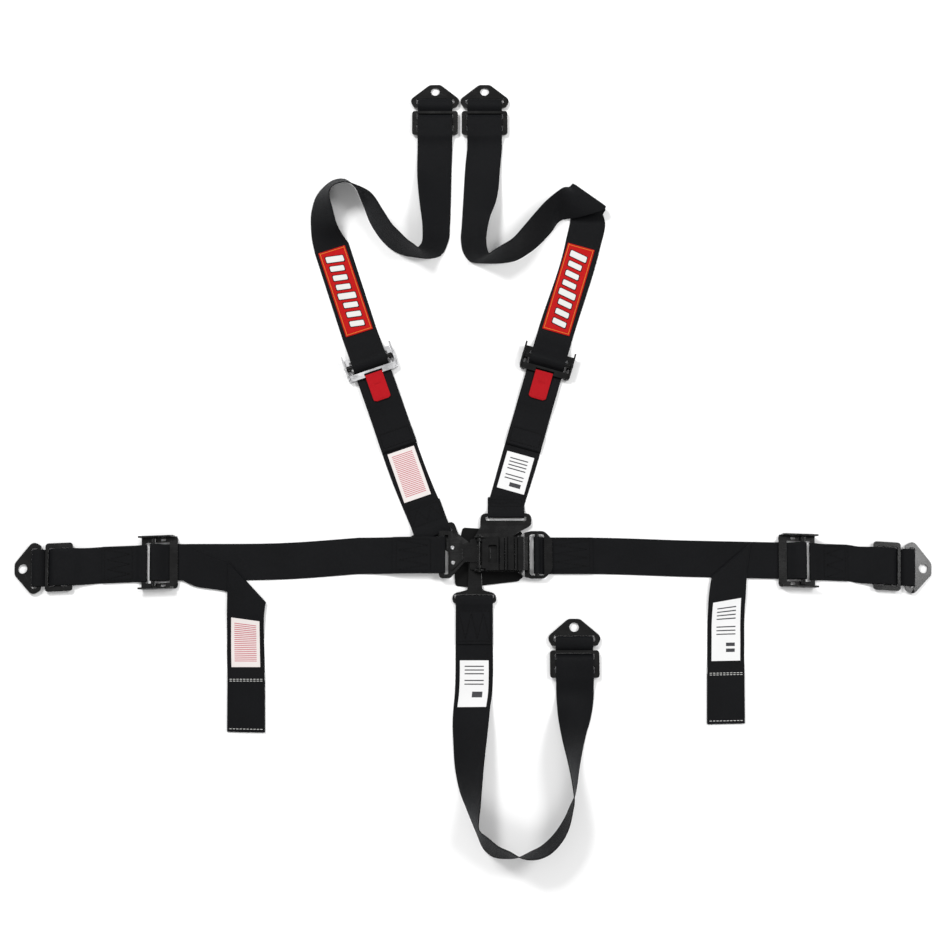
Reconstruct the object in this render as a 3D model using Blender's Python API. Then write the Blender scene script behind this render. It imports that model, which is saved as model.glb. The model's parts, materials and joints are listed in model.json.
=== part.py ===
"""Five-point racing harness with a lever latch, laid out flat. Blender 4.5, metres, +Z up.

The origin is on the floor, at the middle of the harness's footprint. Design numbers are millimetres and
finish() turns them into metres. Each strap is a ribbon given by pairs of edge points, left then right
as one travels along it. Hardware is drawn in a local frame: u runs along the strap, away from the
anchor bolt, v to its left and z up.
"""

import math

import bmesh
import bpy
import numpy as np
from mathutils import Matrix, Vector

MM = 0.001
WEB_WIDTH = 50.8
WEB_THICK = 1.5
GAP = 0.3
LAYER = WEB_THICK + GAP
LAY = WEB_THICK / 2 + 0.05
STEEL = 2.5
BEND_STEPS = 6

# Anchor plate
HOLE_RADIUS = 6.5
HOLE_FROM_BAR = 23.0
PLATE_HALF_WIDTH = 35.0
PLATE_BAR = 5.0
PLATE_AXIS_Z = 4.6
PLATE_LOOP = 3.8

# Three-bar slide
SLIDE_START = 8.6
SLIDE_LENGTH = 37.4
SLIDE_HALF_WIDTH = 33.5
SLIDE_Z = 4.0
SLIDE_THICK = 2.6

# Strap adjusters
FRAME_HALF_WIDTH = 36.5
FRAME_THICK = 2.2
BAR_RADIUS = 3.2
TAB_WIDTH = 25.0
TAB_LENGTH = 42.0
TAB_THICK = 1.2

# Latch
LATCH_Y = -147.0
POST = (6.0, LATCH_Y - 1.0)
DECK_Z = 12.6
DECK_THICK = 2.0
PIN_X = 9.0
PIN_Z = 20.5
PIN_RADIUS = 1.5
LEVER_HALF_WIDTH = 23.0

WEBBING = ("webbing", (0.012, 0.013, 0.015), 0.6, 0.0)
STEEL_BLACK = ("black_steel", (0.016, 0.016, 0.018), 0.3, 0.8)
STEEL_BRIGHT = ("bright_steel", (0.45, 0.45, 0.46), 0.18, 1.0)
RED_TAB = ("red_tab", (0.6, 0.012, 0.02), 0.7, 0.0)
RED_PATCH = ("red_patch", (0.65, 0.012, 0.015), 0.75, 0.0)
LABEL = ("label_cloth", (0.82, 0.8, 0.79), 0.6, 0.0)
PAD = ("pad_cloth", (0.014, 0.014, 0.015), 0.8, 0.0)


def clear_scene():
    for obj in list(bpy.data.objects):
        bpy.data.objects.remove(obj, do_unlink=True)


def make_material(name, colour, roughness, metallic):
    found = bpy.data.materials.get(name)
    if found:
        return found
    material = bpy.data.materials.new(name)
    material.use_nodes = True
    shader = material.node_tree.nodes["Principled BSDF"]
    shader.inputs["Base Color"].default_value = (*colour, 1.0)
    shader.inputs["Roughness"].default_value = roughness
    shader.inputs["Metallic"].default_value = metallic
    return material


def finish(name, bm, look, frame=Matrix(), pivot=None, smooth=True):
    """Turns a millimetre bmesh, drawn in a local frame, into an object in metres with its origin at pivot."""
    bm.transform(frame)
    bmesh.ops.recalc_face_normals(bm, faces=bm.faces)
    if bm.calc_volume(signed=True) < 0:
        bmesh.ops.reverse_faces(bm, faces=bm.faces)
    origin = Vector(pivot) if pivot else Vector((0, 0, 0))
    bm.transform(Matrix.Translation(-origin))
    bm.transform(Matrix.Scale(MM, 4))
    mesh = bpy.data.meshes.new(name)
    bm.to_mesh(mesh)
    bm.free()
    if smooth:
        mesh.shade_smooth()
        mesh.set_sharp_from_angle(angle=math.radians(35))
    mesh.materials.append(make_material(*look))
    obj = bpy.data.objects.new(name, mesh)
    obj.location = origin * MM
    bpy.context.collection.objects.link(obj)
    return obj


def helper(name, bm, frame=Matrix(), pivot=None):
    """A hidden solid that a Boolean modifier uses."""
    obj = finish(name, bm, PAD, frame, pivot)
    obj.hide_render = True
    obj.display_type = "WIRE"
    return obj


def boolean(obj, other, operation):
    modifier = obj.modifiers.new(operation.lower() + "_" + other.name, "BOOLEAN")
    modifier.operation = operation
    modifier.solver = "EXACT"
    modifier.object = other


def local_frame(x, y, heading, z=0.0, pitch=0.0):
    """u along heading (degrees from +X), v to its left; pitch lifts the +u side."""
    turn = Matrix.Rotation(math.radians(heading), 4, "Z")
    tilt = Matrix.Rotation(-math.radians(pitch), 4, "Y")
    return Matrix.Translation((x, y, z)) @ turn @ tilt


# Outlines


def arc(cx, cy, radius, start, end, steps):
    """Points on an arc, its angles in degrees."""
    angles = [math.radians(start + (end - start) * i / steps) for i in range(steps + 1)]
    return [(cx + radius * math.cos(a), cy + radius * math.sin(a)) for a in angles]


def rounded(corners, radii, steps=3):
    """A polygon with its corners filleted."""
    points = []
    count = len(corners)
    if not isinstance(radii, (list, tuple)):
        radii = [radii] * count
    for i, corner in enumerate(corners):
        here = Vector(corner)
        back = (Vector(corners[i - 1]) - here).normalized()
        ahead = (Vector(corners[(i + 1) % count]) - here).normalized()
        if radii[i] <= 0:
            points.append(tuple(here))
            continue
        half = back.angle(ahead) / 2
        centre = here + (back + ahead).normalized() * radii[i] / math.sin(half)
        first = here + back * radii[i] / math.tan(half) - centre
        last = here + ahead * radii[i] / math.tan(half) - centre
        sweep = first.angle_signed(last)
        for k in range(steps + 1):
            turn = -sweep * k / steps
            spoke = Matrix.Rotation(turn, 2) @ first
            points.append(tuple(centre + spoke))
    return points


def box_outline(u0, u1, v0, v1, radius=1.5, steps=2):
    return rounded([(u0, v0), (u1, v0), (u1, v1), (u0, v1)], radius, steps)


def disc_outline(cu, cv, radius, steps=20):
    return arc(cu, cv, radius, 0, 360 - 360 / steps, steps - 1)


def ring_edges(bm, outline, z=0.0):
    verts = [bm.verts.new((u, v, z)) for u, v in outline]
    return [bm.edges.new((verts[i - 1], verts[i])) for i in range(len(verts))]


def plate(outline, holes, z0, z1):
    """A flat plate with holes, from z0 to z1."""
    bm = bmesh.new()
    edges = ring_edges(bm, outline, z0)
    for hole in holes:
        edges += ring_edges(bm, hole, z0)
    bmesh.ops.triangle_fill(bm, use_beauty=True, use_dissolve=False, edges=edges)
    flat = list(bm.faces)
    grown = bmesh.ops.extrude_face_region(bm, geom=flat, use_keep_orig=True)
    for item in grown["geom"]:
        if isinstance(item, bmesh.types.BMVert):
            item.co.z = z1
    return bm


def stand_up(bm, v0, v1):
    """Turns a plate drawn in (u, z) with thickness 0..1 into a solid from v0 to v1."""
    for vert in bm.verts:
        u, z, side = vert.co
        vert.co = (u, v0 + (v1 - v0) * side, z)
    return bm


def profile_bar(outline, v0, v1, holes=()):
    """A (u, z) profile extruded across the strap."""
    return stand_up(plate(outline, list(holes), 0.0, 1.0), v0, v1)


def tube_bar(cu, cz, radius, v0, v1, steps=14):
    return profile_bar(disc_outline(cu, cz, radius, steps), v0, v1)


def joggle(bm, cuts, lift):
    """Bends a plate out of its plane: cut along u at each place, then lift each point by lift(u)."""
    for u in cuts:
        geom = list(bm.verts) + list(bm.edges) + list(bm.faces)
        bmesh.ops.bisect_plane(bm, geom=geom, plane_co=(u, 0, 0), plane_no=(1, 0, 0))
    bmesh.ops.triangulate(bm, faces=bm.faces)
    for vert in bm.verts:
        vert.co.z += lift(vert.co.x)
    return bm


def ease(x, x0, x1, y0, y1):
    t = min(max((x - x0) / (x1 - x0), 0.0), 1.0)
    return y0 + (y1 - y0) * t * t * (3 - 2 * t)


# Straps


def lane(points, frame):
    """Edge pairs of a strap that follows (u, z) points in a hardware frame."""
    half = WEB_WIDTH / 2
    return [(frame @ Vector((u, half, z)), frame @ Vector((u, -half, z))) for u, z in points]


def pairs(rows):
    """Edge pairs written as six numbers: left x, y, z and right x, y, z."""
    return [(Vector(row[:3]), Vector(row[3:])) for row in rows]


def smooth_pairs(stations, spacing):
    """A cubic through the stations, with more sections where they lie far apart."""
    pts = np.array([[*a, *b] for a, b in stations], float)
    mid = (pts[:, :3] + pts[:, 3:]) / 2
    step = np.maximum(np.linalg.norm(np.diff(mid, axis=0), axis=1), 0.01)
    slope = np.diff(pts, axis=0) / step[:, None]
    tangent = np.empty_like(pts)
    tangent[0] = slope[0]
    tangent[-1] = slope[-1]
    weight = step[:-1, None] + step[1:, None]
    tangent[1:-1] = (slope[:-1] * step[1:, None] + slope[1:] * step[:-1, None]) / weight
    rows = [pts[0]]
    for i, length in enumerate(step):
        count = max(1, round(length / spacing))
        for k in range(1, count + 1):
            t = k / count
            begin = tangent[i] if i and step[i - 1] > length * 0.3 else slope[i]
            end = tangent[i + 1] if i + 1 < len(step) and step[i + 1] > length * 0.3 else slope[i]
            h = (2 * t**3 - 3 * t**2 + 1, t**3 - 2 * t**2 + t, 3 * t**2 - 2 * t**3, t**3 - t**2)
            rows.append(
                h[0] * pts[i]
                + h[1] * length * begin
                + h[2] * pts[i + 1]
                + h[3] * length * end
            )
    return [(Vector(row[:3]), Vector(row[3:])) for row in rows]


def section_normals(rows):
    """The direction of the strap's thickness at each section."""
    normals = []
    mids = [(a + b) / 2 for a, b in rows]
    for i, (left, right) in enumerate(rows):
        ahead = (mids[min(i + 1, len(rows) - 1)] - mids[max(i - 1, 0)]).normalized()
        across = (left - right).normalized()
        normals.append(ahead.cross(across).normalized())
    return normals


def ribbon(stations, spacing=22.0, thick=WEB_THICK):
    """A closed strap of constant thickness through edge pairs."""
    rows = smooth_pairs(stations, spacing)
    bm = bmesh.new()
    rings = []
    for (left, right), normal in zip(rows, section_normals(rows)):
        offset = normal * thick / 2
        corners = (left + offset, right + offset, right - offset, left - offset)
        rings.append([bm.verts.new(c) for c in corners])
    for first, second in zip(rings, rings[1:]):
        for k in (1, 3):
            bm.faces.new((first[k], first[k - 3], second[k - 3], second[k]))
        # Both faces are cut along the same diagonal, so that the strap keeps its thickness where it twists.
        bm.faces.new((first[0], first[1], second[1]))
        bm.faces.new((first[0], second[1], second[0]))
        bm.faces.new((first[2], first[3], second[2]))
        bm.faces.new((first[3], second[3], second[2]))
    bm.faces.new(rings[0])
    bm.faces.new(rings[-1])
    return bm


def bend(cu, cz, radius, start, end, steps=BEND_STEPS):
    return arc(cu, cz, radius, start, end, steps)


def anchor_loop():
    """Strap points (u, z) of the tail, the turn through the anchor plate and the way back over the slide."""
    low = LAY
    tail = [(62, low), (48, low), (41, low + 0.1), (38, 1.5), (34.8, 4.2), (32.2, 7.2), (29.5, 8.1), (24, 8.1)]
    tail += [(20.8, 7.6), (18.6, 5.6), (17.0, 3.4), (15.6, 1.7), (14, low + 0.15), (12.5, low + 0.05), (6, low)]
    turn = bend(0, PLATE_AXIS_Z, PLATE_LOOP, 270, 90)
    back = [(3.6, 7.2), (5.6, 4.9), (7.6, 3.2), (9.2, 2.72), (12.9, 2.72), (14.6, 4.2), (16.0, 6.9), (18.2, 9.4)]
    back += [(20.8, 10.1)]
    back += [(24, 10.1), (29, 10.1), (35, 9.3), (41, 8.3), (47, 7.9), (50, 7.0), (54, 5.0), (60, 3.3), (66, 2.5)]
    return tail + turn + back


# Hardware


def plate_pitch():
    """The plate leans on the floor at its bolt end."""
    reach = HOLE_FROM_BAR + 11.5
    return math.degrees(math.asin((PLATE_AXIS_Z - STEEL / 2 - 0.05) / reach))


def add_anchor_plate(name, x, y, heading):
    apex = -HOLE_FROM_BAR
    corners = [(PLATE_BAR / 2, -31), (PLATE_BAR / 2, 31), (-9, PLATE_HALF_WIDTH + 2.5)]
    corners += [(apex - 11.5, 8), (apex - 11.5, -8), (-9, -PLATE_HALF_WIDTH - 2.5)]
    outline = rounded(corners, [3, 3, 8, 9, 9, 8], 4)
    slot = box_outline(-11.5, -PLATE_BAR / 2, -28, 28, 2.2, 2)
    hole = disc_outline(apex, 0, HOLE_RADIUS, 24)
    bm = plate(outline, [slot, hole], -STEEL / 2, STEEL / 2)
    frame = local_frame(x, y, heading, PLATE_AXIS_Z, plate_pitch())
    return finish(name, bm, STEEL_BLACK, frame, (x, y, PLATE_AXIS_Z))


def add_slide(name, x, y, heading):
    end = SLIDE_START + SLIDE_LENGTH
    w = SLIDE_HALF_WIDTH
    outline = box_outline(SLIDE_START, end, -w, w, 4.0, 3)
    first = box_outline(SLIDE_START + 4.3, SLIDE_START + 13.4, -27, 27, 2, 2)
    second = box_outline(SLIDE_START + 21.4, SLIDE_START + 31.9, -27, 27, 2, 2)
    bm = plate(outline, [first, second], SLIDE_Z, SLIDE_Z + SLIDE_THICK)
    return finish(name, bm, STEEL_BLACK, local_frame(x, y, heading))


def add_adjuster_frame(name, x, y, heading, rear, front, lip, flange, slot, notch=False):
    """A stamped frame: floor strips and rear bar, two flanges with a slot each, and a raised front lip."""
    w = FRAME_HALF_WIDTH
    inner = 28.3
    corners = [(rear, -w), (front, -w), (front, -inner), (rear + 5.5, -inner)]
    corners += [(rear + 5.5, inner), (front, inner), (front, w), (rear, w)]
    outline = rounded(corners, [1, 5, 1, 1, 1, 1, 5, 1], 3)
    side = [box_outline(1.5, 8.5, s * 31.4 - 1.6, s * 31.4 + 1.6, 1.2, 2) for s in (-1, 1)]
    bm = plate(outline, side, 1.85, 1.85 + FRAME_THICK)
    frame = local_frame(x, y, heading)
    look = STEEL_BLACK
    obj = finish(name, bm, look, frame)
    for label, sign in (("left", 1), ("right", -1)):
        wall = [(rear + 0.4, 2.7), (front - 6.2, 2.7), (front - 4, 5.0), (front - 5.5, flange - 1.5)]
        wall += [(front - 9, flange), (rear - 3.5, flange), (rear - 3.5, flange - 1.8), (rear + 0.4, 6.5)]
        hole = box_outline(slot[0], slot[1], slot[2], slot[3], 1.2, 2)
        inner, outer = sorted((sign * (w - 2.1), sign * (w + 0.2)))
        cheek = helper(f"{name}_cheek_{label}", profile_bar(wall, inner, outer, [hole]), frame)
        boolean(obj, cheek, "UNION")
    lip_outline = rounded([(lip[0], -w + 0.6), (lip[1], -w + 6), (lip[1], w - 6), (lip[0], w - 0.6)], [1, 3, 3, 1], 2)
    edge = plate(lip_outline, [], lip[2], lip[2] + FRAME_THICK)
    boolean(obj, helper(name + "_lip", edge, frame), "UNION")
    for label, sign in (("left", 1), ("right", -1)):
        inner, outer = sorted((sign * 29.0, sign * (w - 0.9)))
        web = profile_bar(box_outline(lip[0] + 0.6, lip[1] - 0.7, 3.2, lip[2] + 1.1, 0.5, 1), inner, outer)
        boolean(obj, helper(f"{name}_web_{label}", web, frame), "UNION")
    if notch:
        half = TAB_WIDTH / 2 + 0.8
        cut = profile_bar(box_outline(lip[0] + 3.2, lip[1] + 4, lip[2] - 1, lip[2] + 4, 0.3, 1), -half, half)
        boolean(obj, helper(name + "_notch", cut, frame), "DIFFERENCE")
        rod = tube_bar(lip[1] - 1.2, lip[2] + 1.1, 0.95, -half - 1.0, half + 1.0, 10)
        boolean(obj, helper(name + "_rod", rod, frame), "UNION")
    return obj


def add_adjuster_bar(name, x, y, heading, u, z):
    half = FRAME_HALF_WIDTH - 0.8
    frame = local_frame(x, y, heading)
    bm = tube_bar(u, z, BAR_RADIUS, -half + 2.2, half - 2.2, 16)
    pivot = frame @ Vector((u, 0, z))
    obj = finish(name, bm, STEEL_BLACK, frame, pivot)
    tenon = tube_bar(u, z, 1.7, -FRAME_HALF_WIDTH - 0.6, FRAME_HALF_WIDTH + 0.6, 10)
    boolean(obj, helper(name + "_tenon", tenon, frame), "UNION")
    return obj


def add_tab(name, x, y, heading, u, z):
    """A doubled pull tab looped round the frame's rod."""
    outer = 2.35
    eye = arc(u, z, outer, 60, 250, 9)
    tail = [(u + 3, z - 2.25), (u + 12, z - 2.45), (u + TAB_LENGTH - 4, z - 2.45)]
    tip = [(u + TAB_LENGTH - 3, z - 2.4), (u + TAB_LENGTH - 3, z + 0.1), (u + TAB_LENGTH - 4, z + 0.2)]
    top = [(u + 12, z + 0.6), (u + 4.5, z + 1.4)]
    hole = disc_outline(u, z, 1.3, 10)
    half = TAB_WIDTH / 2
    frame = local_frame(x, y, heading)
    pivot = frame @ Vector((u, 0, z))
    return finish(name, profile_bar(eye + tail + tip + top, -half, half, [hole]), RED_TAB, frame, pivot)


# Latch


def post_slot():
    x, y = POST
    return box_outline(x - 4.6, x + 4.6, y - 7.6, y + 7.6, 1.0, 1)


def add_fitting(name, outline, slot, cuts, lift, frame=Matrix(), turn_back=True):
    """A stamped strap end that drops over the latch post, drawn in world u, v and bent upward by lift."""
    bm = plate(outline, [slot, post_slot()], 0.0, FRAME_THICK)
    to_axis = frame.inverted_safe()
    bm.transform(to_axis)
    joggle(bm, cuts, lift)
    bm.transform(frame)
    return finish(name, bm, STEEL_BLACK, smooth=turn_back)


def turned(points, frame):
    return [tuple((frame @ Vector((u, v, 0)))[:2]) for u, v in points]


def add_latch_body():
    """Deck with cheeks for the hinge pin, the post for the fittings, and the belt ring at the right."""
    y = LATCH_Y
    deck = [(-4, y - 21), (60, y - 24), (72, y - 31), (80, y - 33), (98, y - 33), (109, y - 22)]
    deck += [(109, y + 22), (98, y + 33), (80, y + 33), (72, y + 31), (60, y + 24), (-4, y + 21)]
    outline = rounded(deck, [3, 4, 4, 4, 9, 9, 9, 9, 4, 4, 4, 3], 3)
    window = box_outline(78, 98, y - 28.5, y + 28.5, 3, 2)
    bm = plate(outline, [window], 0.0, DECK_THICK)
    joggle(bm, (60, 63, 67, 71), lambda x: ease(x, 60, 71, 10.0, 5.8))
    obj = finish("latch_body", bm, STEEL_BLACK)
    px, py = POST
    post = plate(box_outline(px - 4, px + 4, py - 7, py + 7, 1, 1), [], 2.4, 11.0)
    boolean(obj, helper("latch_body_post", post), "UNION")
    cheek = [(2, 11), (58, 11), (56, 14), (16, 14), (15.5, 19.5), (12, 21.5), (6, 21.5), (2, 18)]
    for label, low in (("near", y - 23.9), ("far", y + 21.9)):
        hole = disc_outline(PIN_X, 18.2, PIN_RADIUS + 0.3, 12)
        side = profile_bar(rounded(cheek, 0.8, 1), low, low + 2.0, [hole])
        boolean(obj, helper("latch_body_cheek_" + label, side), "UNION")
    roller = tube_bar(88, 7.0, 2.8, y - 30, y + 30, 14)
    boolean(obj, helper("latch_body_roller", roller), "UNION")
    return obj


def link_lift(u):
    return ease(u, 8, 30, 9.0, 12.4)


LINK_CUTS = (8, 12, 16, 20, 24, 28)
RIVETS = (("upper", 14.0, 9.0), ("lower", 15.0, -12.0))


def rivet_holes():
    return [disc_outline(u, v, 1.9, 10) for _, u, v in RIVETS]


def add_link(x, y):
    frame = local_frame(x, y, 0)
    corners = [(-4.5, -33), (11, -33), (31, -11), (66, -11), (66, 11), (31, 11), (11, 33), (-4.5, 33)]
    outline = rounded(corners, [5, 5, 6, 5, 5, 6, 5, 5], 3)
    belt = box_outline(2.5, 8.3, -27.5, 27.5, 1.5, 2)
    catch = box_outline(54.5, 61.5, -8, 8, 1, 1)
    bm = plate(outline, [belt, catch, *rivet_holes()], 0.0, FRAME_THICK)
    finish("link_plate", joggle(bm, LINK_CUTS, link_lift), STEEL_BLACK, frame)
    arrow = rounded([(10.4, -22), (14, -22), (28, -8), (28, 8), (14, 20), (10.4, 20)], 1.5, 2)
    bm = plate(arrow, rivet_holes(), FRAME_THICK + GAP, FRAME_THICK + GAP + 1.5)
    finish("link_stiffener", joggle(bm, LINK_CUTS, link_lift), STEEL_BLACK, frame)
    for label, u, v in RIVETS:
        base = link_lift(u) + FRAME_THICK + GAP + 1.5
        head = [(0, 1.7), (1.4, 1.5), (2.5, 0.9), (2.9, 0.0), (1.5, -0.05), (1.5, -4.3), (0, -4.3)]
        bm = turned_solid(head, 12)
        seat = local_frame(x + u, y + v, 0, base + 0.6)
        finish("link_rivet_" + label, bm, STEEL_BRIGHT, seat)


def turned_solid(profile, steps):
    """A solid of revolution about z from an (r, z) profile whose ends lie on the axis."""
    bm = bmesh.new()
    top = bm.verts.new((0, 0, profile[0][1]))
    bottom = bm.verts.new((0, 0, profile[-1][1]))
    rings = []
    for r, z in profile[1:-1]:
        rings.append([bm.verts.new((px, py, z)) for px, py in disc_outline(0, 0, r, steps)])
    for k in range(steps):
        bm.faces.new((top, rings[0][k - 1], rings[0][k]))
        bm.faces.new((bottom, rings[-1][k], rings[-1][k - 1]))
        for upper, lower in zip(rings, rings[1:]):
            bm.faces.new((upper[k - 1], lower[k - 1], lower[k], upper[k]))
    return bm


def add_lever():
    y = LATCH_Y
    low, high = y - LEVER_HALF_WIDTH, y + LEVER_HALF_WIDTH
    under = [(17.5, 16.6), (72, 16.6), (76, 18.2)]
    over = [(75, 20.4), (71, 21.0), (69, 21.4), (62, 21.4), (60.5, 19.3), (57.5, 19.3), (56, 21.4)]
    over += [(48.5, 21.4), (47, 19.3), (44, 19.3), (42.5, 21.4), (37, 21.4), (35, 19.0), (17.5, 19.0)]
    obj = finish("latch_lever", profile_bar(under + over, low, high), STEEL_BLACK, pivot=(PIN_X, y, 18.2))
    neck = profile_bar(box_outline(12.3, 20, 16.9, 18.7, 0.5, 1), y - 20.5, y + 20.5)
    boolean(obj, helper("lever_neck", neck), "UNION")
    for label, start in (("near", y - 20.5), ("far", y + 16.5)):
        hole = disc_outline(PIN_X, 18.2, PIN_RADIUS + 0.3, 12)
        knuckle = profile_bar(disc_outline(PIN_X, 18.2, 4.0, 16), start, start + 4.0, [hole])
        boolean(obj, helper("lever_knuckle_" + label, knuckle), "UNION")
    lug = profile_bar([(14.5, 13.2), (16.6, 13.2), (17.6, 17.5), (14.5, 17.5)], y - 7, y + 5)
    boolean(obj, helper("lever_lug", lug), "UNION")
    sight = plate(box_outline(21, 33, y - 13, y + 12, 2, 2), [], 10, 25)
    boolean(obj, helper("lever_window", sight), "DIFFERENCE")
    return obj


def add_pin():
    y = LATCH_Y
    shaft = tube_bar(PIN_X, 18.2, PIN_RADIUS, y - 25.2, y + 25.2, 12)
    obj = finish("latch_hinge_pin", shaft, STEEL_BRIGHT)
    for label, start in (("near", y - 25.6), ("far", y + 24.4)):
        cap = tube_bar(PIN_X, 18.2, 2.8, start, start + 1.2, 12)
        boolean(obj, helper("pin_cap_" + label, cap), "UNION")
    return obj


def add_spring():
    """The lever's torsion spring, wound round the hinge pin."""
    turns, coil, wire, sides, steps = 9, 2.3, 0.55, 5, 10
    start = LATCH_Y - 14.0
    length = 26.0
    bm = bmesh.new()
    rings = []
    for i in range(turns * steps + 1):
        angle = 2 * math.pi * i / steps
        centre = Vector((PIN_X + coil * math.cos(angle), start + length * i / (turns * steps), 18.2 + coil * math.sin(angle)))
        outward = Vector((math.cos(angle), 0, math.sin(angle)))
        ring = []
        for k in range(sides):
            around = 2 * math.pi * k / sides
            ring.append(bm.verts.new(centre + wire * (math.cos(around) * outward + math.sin(around) * Vector((0, 1, 0)))))
        rings.append(ring)
    for first, second in zip(rings, rings[1:]):
        for k in range(sides):
            bm.faces.new((first[k - 1], first[k], second[k], second[k - 1]))
    bm.faces.new(rings[0])
    bm.faces.new(rings[-1])
    return finish("latch_spring", bm, STEEL_BRIGHT)


def add_fittings():
    px, py = POST
    sub = local_frame(2, -209, -90)
    body = [(4.5, -30), (4.5, 30), (-9, 30), (-14, 11), (-38, 10), (-69, 16), (-69, -8), (-38, -8), (-14, -9), (-9, -30)]
    outline = rounded(turned(body, sub), [5, 5, 8, 4, 4, 5, 5, 4, 4, 8], 3)
    slot = turned(box_outline(-7.5, -2.0, -27, 27, 1.5, 2), sub)
    add_fitting("sub_fitting", outline, slot, (-18, -15, -12, -9), lambda u: ease(u, -18, -9, 2.4, 1.85), sub)

    left = local_frame(-56, -115, 109.8)
    head = [(5, -33), (5, 33), (-10, 33), (-22, -2)]
    wide = turned(head, left)
    tip = [(-6, -160), (14, -162), (18, -140), (0, -134)]
    last = turned([(-14, -33)], left)
    outline = rounded([*wide, *tip, *last], [6, 6, 6, 6, 5, 5, 5, 5, 8], 3)
    slot = turned(box_outline(-7.5, -2.0, -27, 27, 1.5, 2), left)
    add_fitting("shoulder_fitting_left", outline, slot, (-36, -30, -24, -18, -12), lambda u: ease(u, -36, -10, 4.9, 1.85), left)

    right = local_frame(46, -91.5, 90)
    body = [(3, -35), (3, 35), (-16, 36), (-48, 52), (-66, 50), (-68, 28), (-56, 26), (-22, -20), (-14, -35)]
    outline = rounded(turned(body, right), [7, 7, 6, 6, 5, 5, 6, 6, 8], 3)
    slot = turned(box_outline(-7.0, -1.5, -28, 28, 1.5, 2), right)
    add_fitting("shoulder_fitting_right", outline, slot, (-32, -26, -20, -14), lambda u: ease(u, -34, -12, 7.4, 1.85), right)


def add_pad():
    corners = [(-14, -108), (66, -113), (72, -122), (70, -176), (62, -183), (-7, -191), (-24, -189), (-26, -160)]
    outline = rounded(corners, [4, 5, 6, 6, 4, 4, 4, 8], 3)
    finish("latch_pad", plate(outline, [], 0.0, 2.0), PAD)


# Straps in place


def flat_wrap(u, low, high, side=1):
    """Points round the end of a flat bar at u, from the upper layer at high to the lower one at low."""
    top, base = high - 1.05, low + 1.05
    if side > 0:
        return arc(u, top, 1.05, 90, 0, 3) + arc(u, base, 1.05, 0, -90, 3)
    return arc(u, top, 1.05, 90, 180, 3) + arc(u, base, 1.05, 180, 270, 3)


def level(z, *places):
    """Pairs written as four numbers (left x, y, right x, y) at one height."""
    return [(Vector((a, b, z)), Vector((c, d, z))) for a, b, c, d in places]


def swap(stations):
    return [(b, a) for a, b in stations]


def hem(last, length, back_z):
    """The strap's end, folded back on itself."""
    left, right = last[-1]
    before = (last[-2][0] + last[-2][1]) / 2
    ahead = (left + right) / 2 - before
    ahead.z = 0
    ahead.normalize()
    rise = Vector((0, 0, back_z - left.z))
    outer = [(left + ahead * 0.9 + rise / 2, right + ahead * 0.9 + rise / 2), (left + rise, right + rise)]
    home = ahead * length
    return last + outer + [(left + rise - home, right + rise - home)]


LOW = LAY
SECOND = LAY + LAYER
THIRD = LAY + 2 * LAYER


def shoulder_adjuster_pass():
    """Upper strap over the knurled bar, under the lip and out as the tail."""
    return [(-50, LOW), (-37, 1.6), (-28, 4.2), (-20, 7.0), (-14, 8.7), (-8.5, 11.7), (-5, 13.1), (-2, 13.6),
            (1.5, 13.0), (4.2, 10.9), (5.3, 8.6), (6.4, 6.4), (9.3, 4.75), (13.5, THIRD), (30, THIRD),
            (60, THIRD), (70, 3.1), (78, SECOND), (127, SECOND)]


def lap_adjuster_pass():
    """Lap strap under the lip, round the knurled bar and out over itself."""
    turn = bend(-8, 7.6, 4.55, 270, 90, 8)
    back = [(-6, 12.1), (-1.5, 11.0), (3, 8.6), (7.5, 5.5), (11, 3.4), (14.5, 2.7), (28, SECOND)]
    return [(30, LOW), (14, LOW), (4, 1.2), (-2, 2.4), (-6, 3.0)] + turn + back


ANCHORS = {
    "shoulder_left": (-55.5, 519, -90),
    "shoulder_right": (17, 519, -90),
    "lap_left": (-595, -165, 2.5),
    "lap_right": (595.4, -164, 176.5),
    "sub": (138, -269, -90),
}
SHOULDER_ADJUSTERS = {"left": (-145, 126, -70.5), "right": (105, 128, -106)}
LAP_ADJUSTERS = {"left": (-430, -157.5, 2.2), "right": (445, -155, 178)}
SHOULDER_LIP_Z = 6.7


def add_hardware():
    for place, spot in ANCHORS.items():
        add_anchor_plate("anchor_plate_" + place, *spot)
        add_slide("slide_" + place, *spot)
    for side, spot in SHOULDER_ADJUSTERS.items():
        name = "shoulder_" + side
        lip = (9, 18, SHOULDER_LIP_Z)
        add_adjuster_frame("adjuster_frame_" + name, *spot, -17, 18, lip, 13.5, (-5.0, 1.2, 7.0, 11.0), True)
        add_adjuster_bar("adjuster_bar_" + name, *spot, -2, 9.0)
        add_tab("release_tab_" + side, *spot, 16.8, SHOULDER_LIP_Z + 1.1)
    for side, spot in LAP_ADJUSTERS.items():
        name = "lap_" + side
        add_adjuster_frame("adjuster_frame_" + name, *spot, -25, 25, (14, 25, 3.9), 13, (-10.2, -4.2, 5.6, 9.6))
        add_adjuster_bar("adjuster_bar_" + name, *spot, -8, 7.6)
    add_latch_body()
    add_link(-42, LATCH_Y)
    add_lever()
    add_pin()
    add_spring()
    add_fittings()
    add_pad()


def at(x, y, heading, z=LOW):
    return lane([(0, z)], local_frame(x, y, heading))


def bar_wrap(u, low, high, side):
    return flat_wrap(u, low, high, side)


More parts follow.
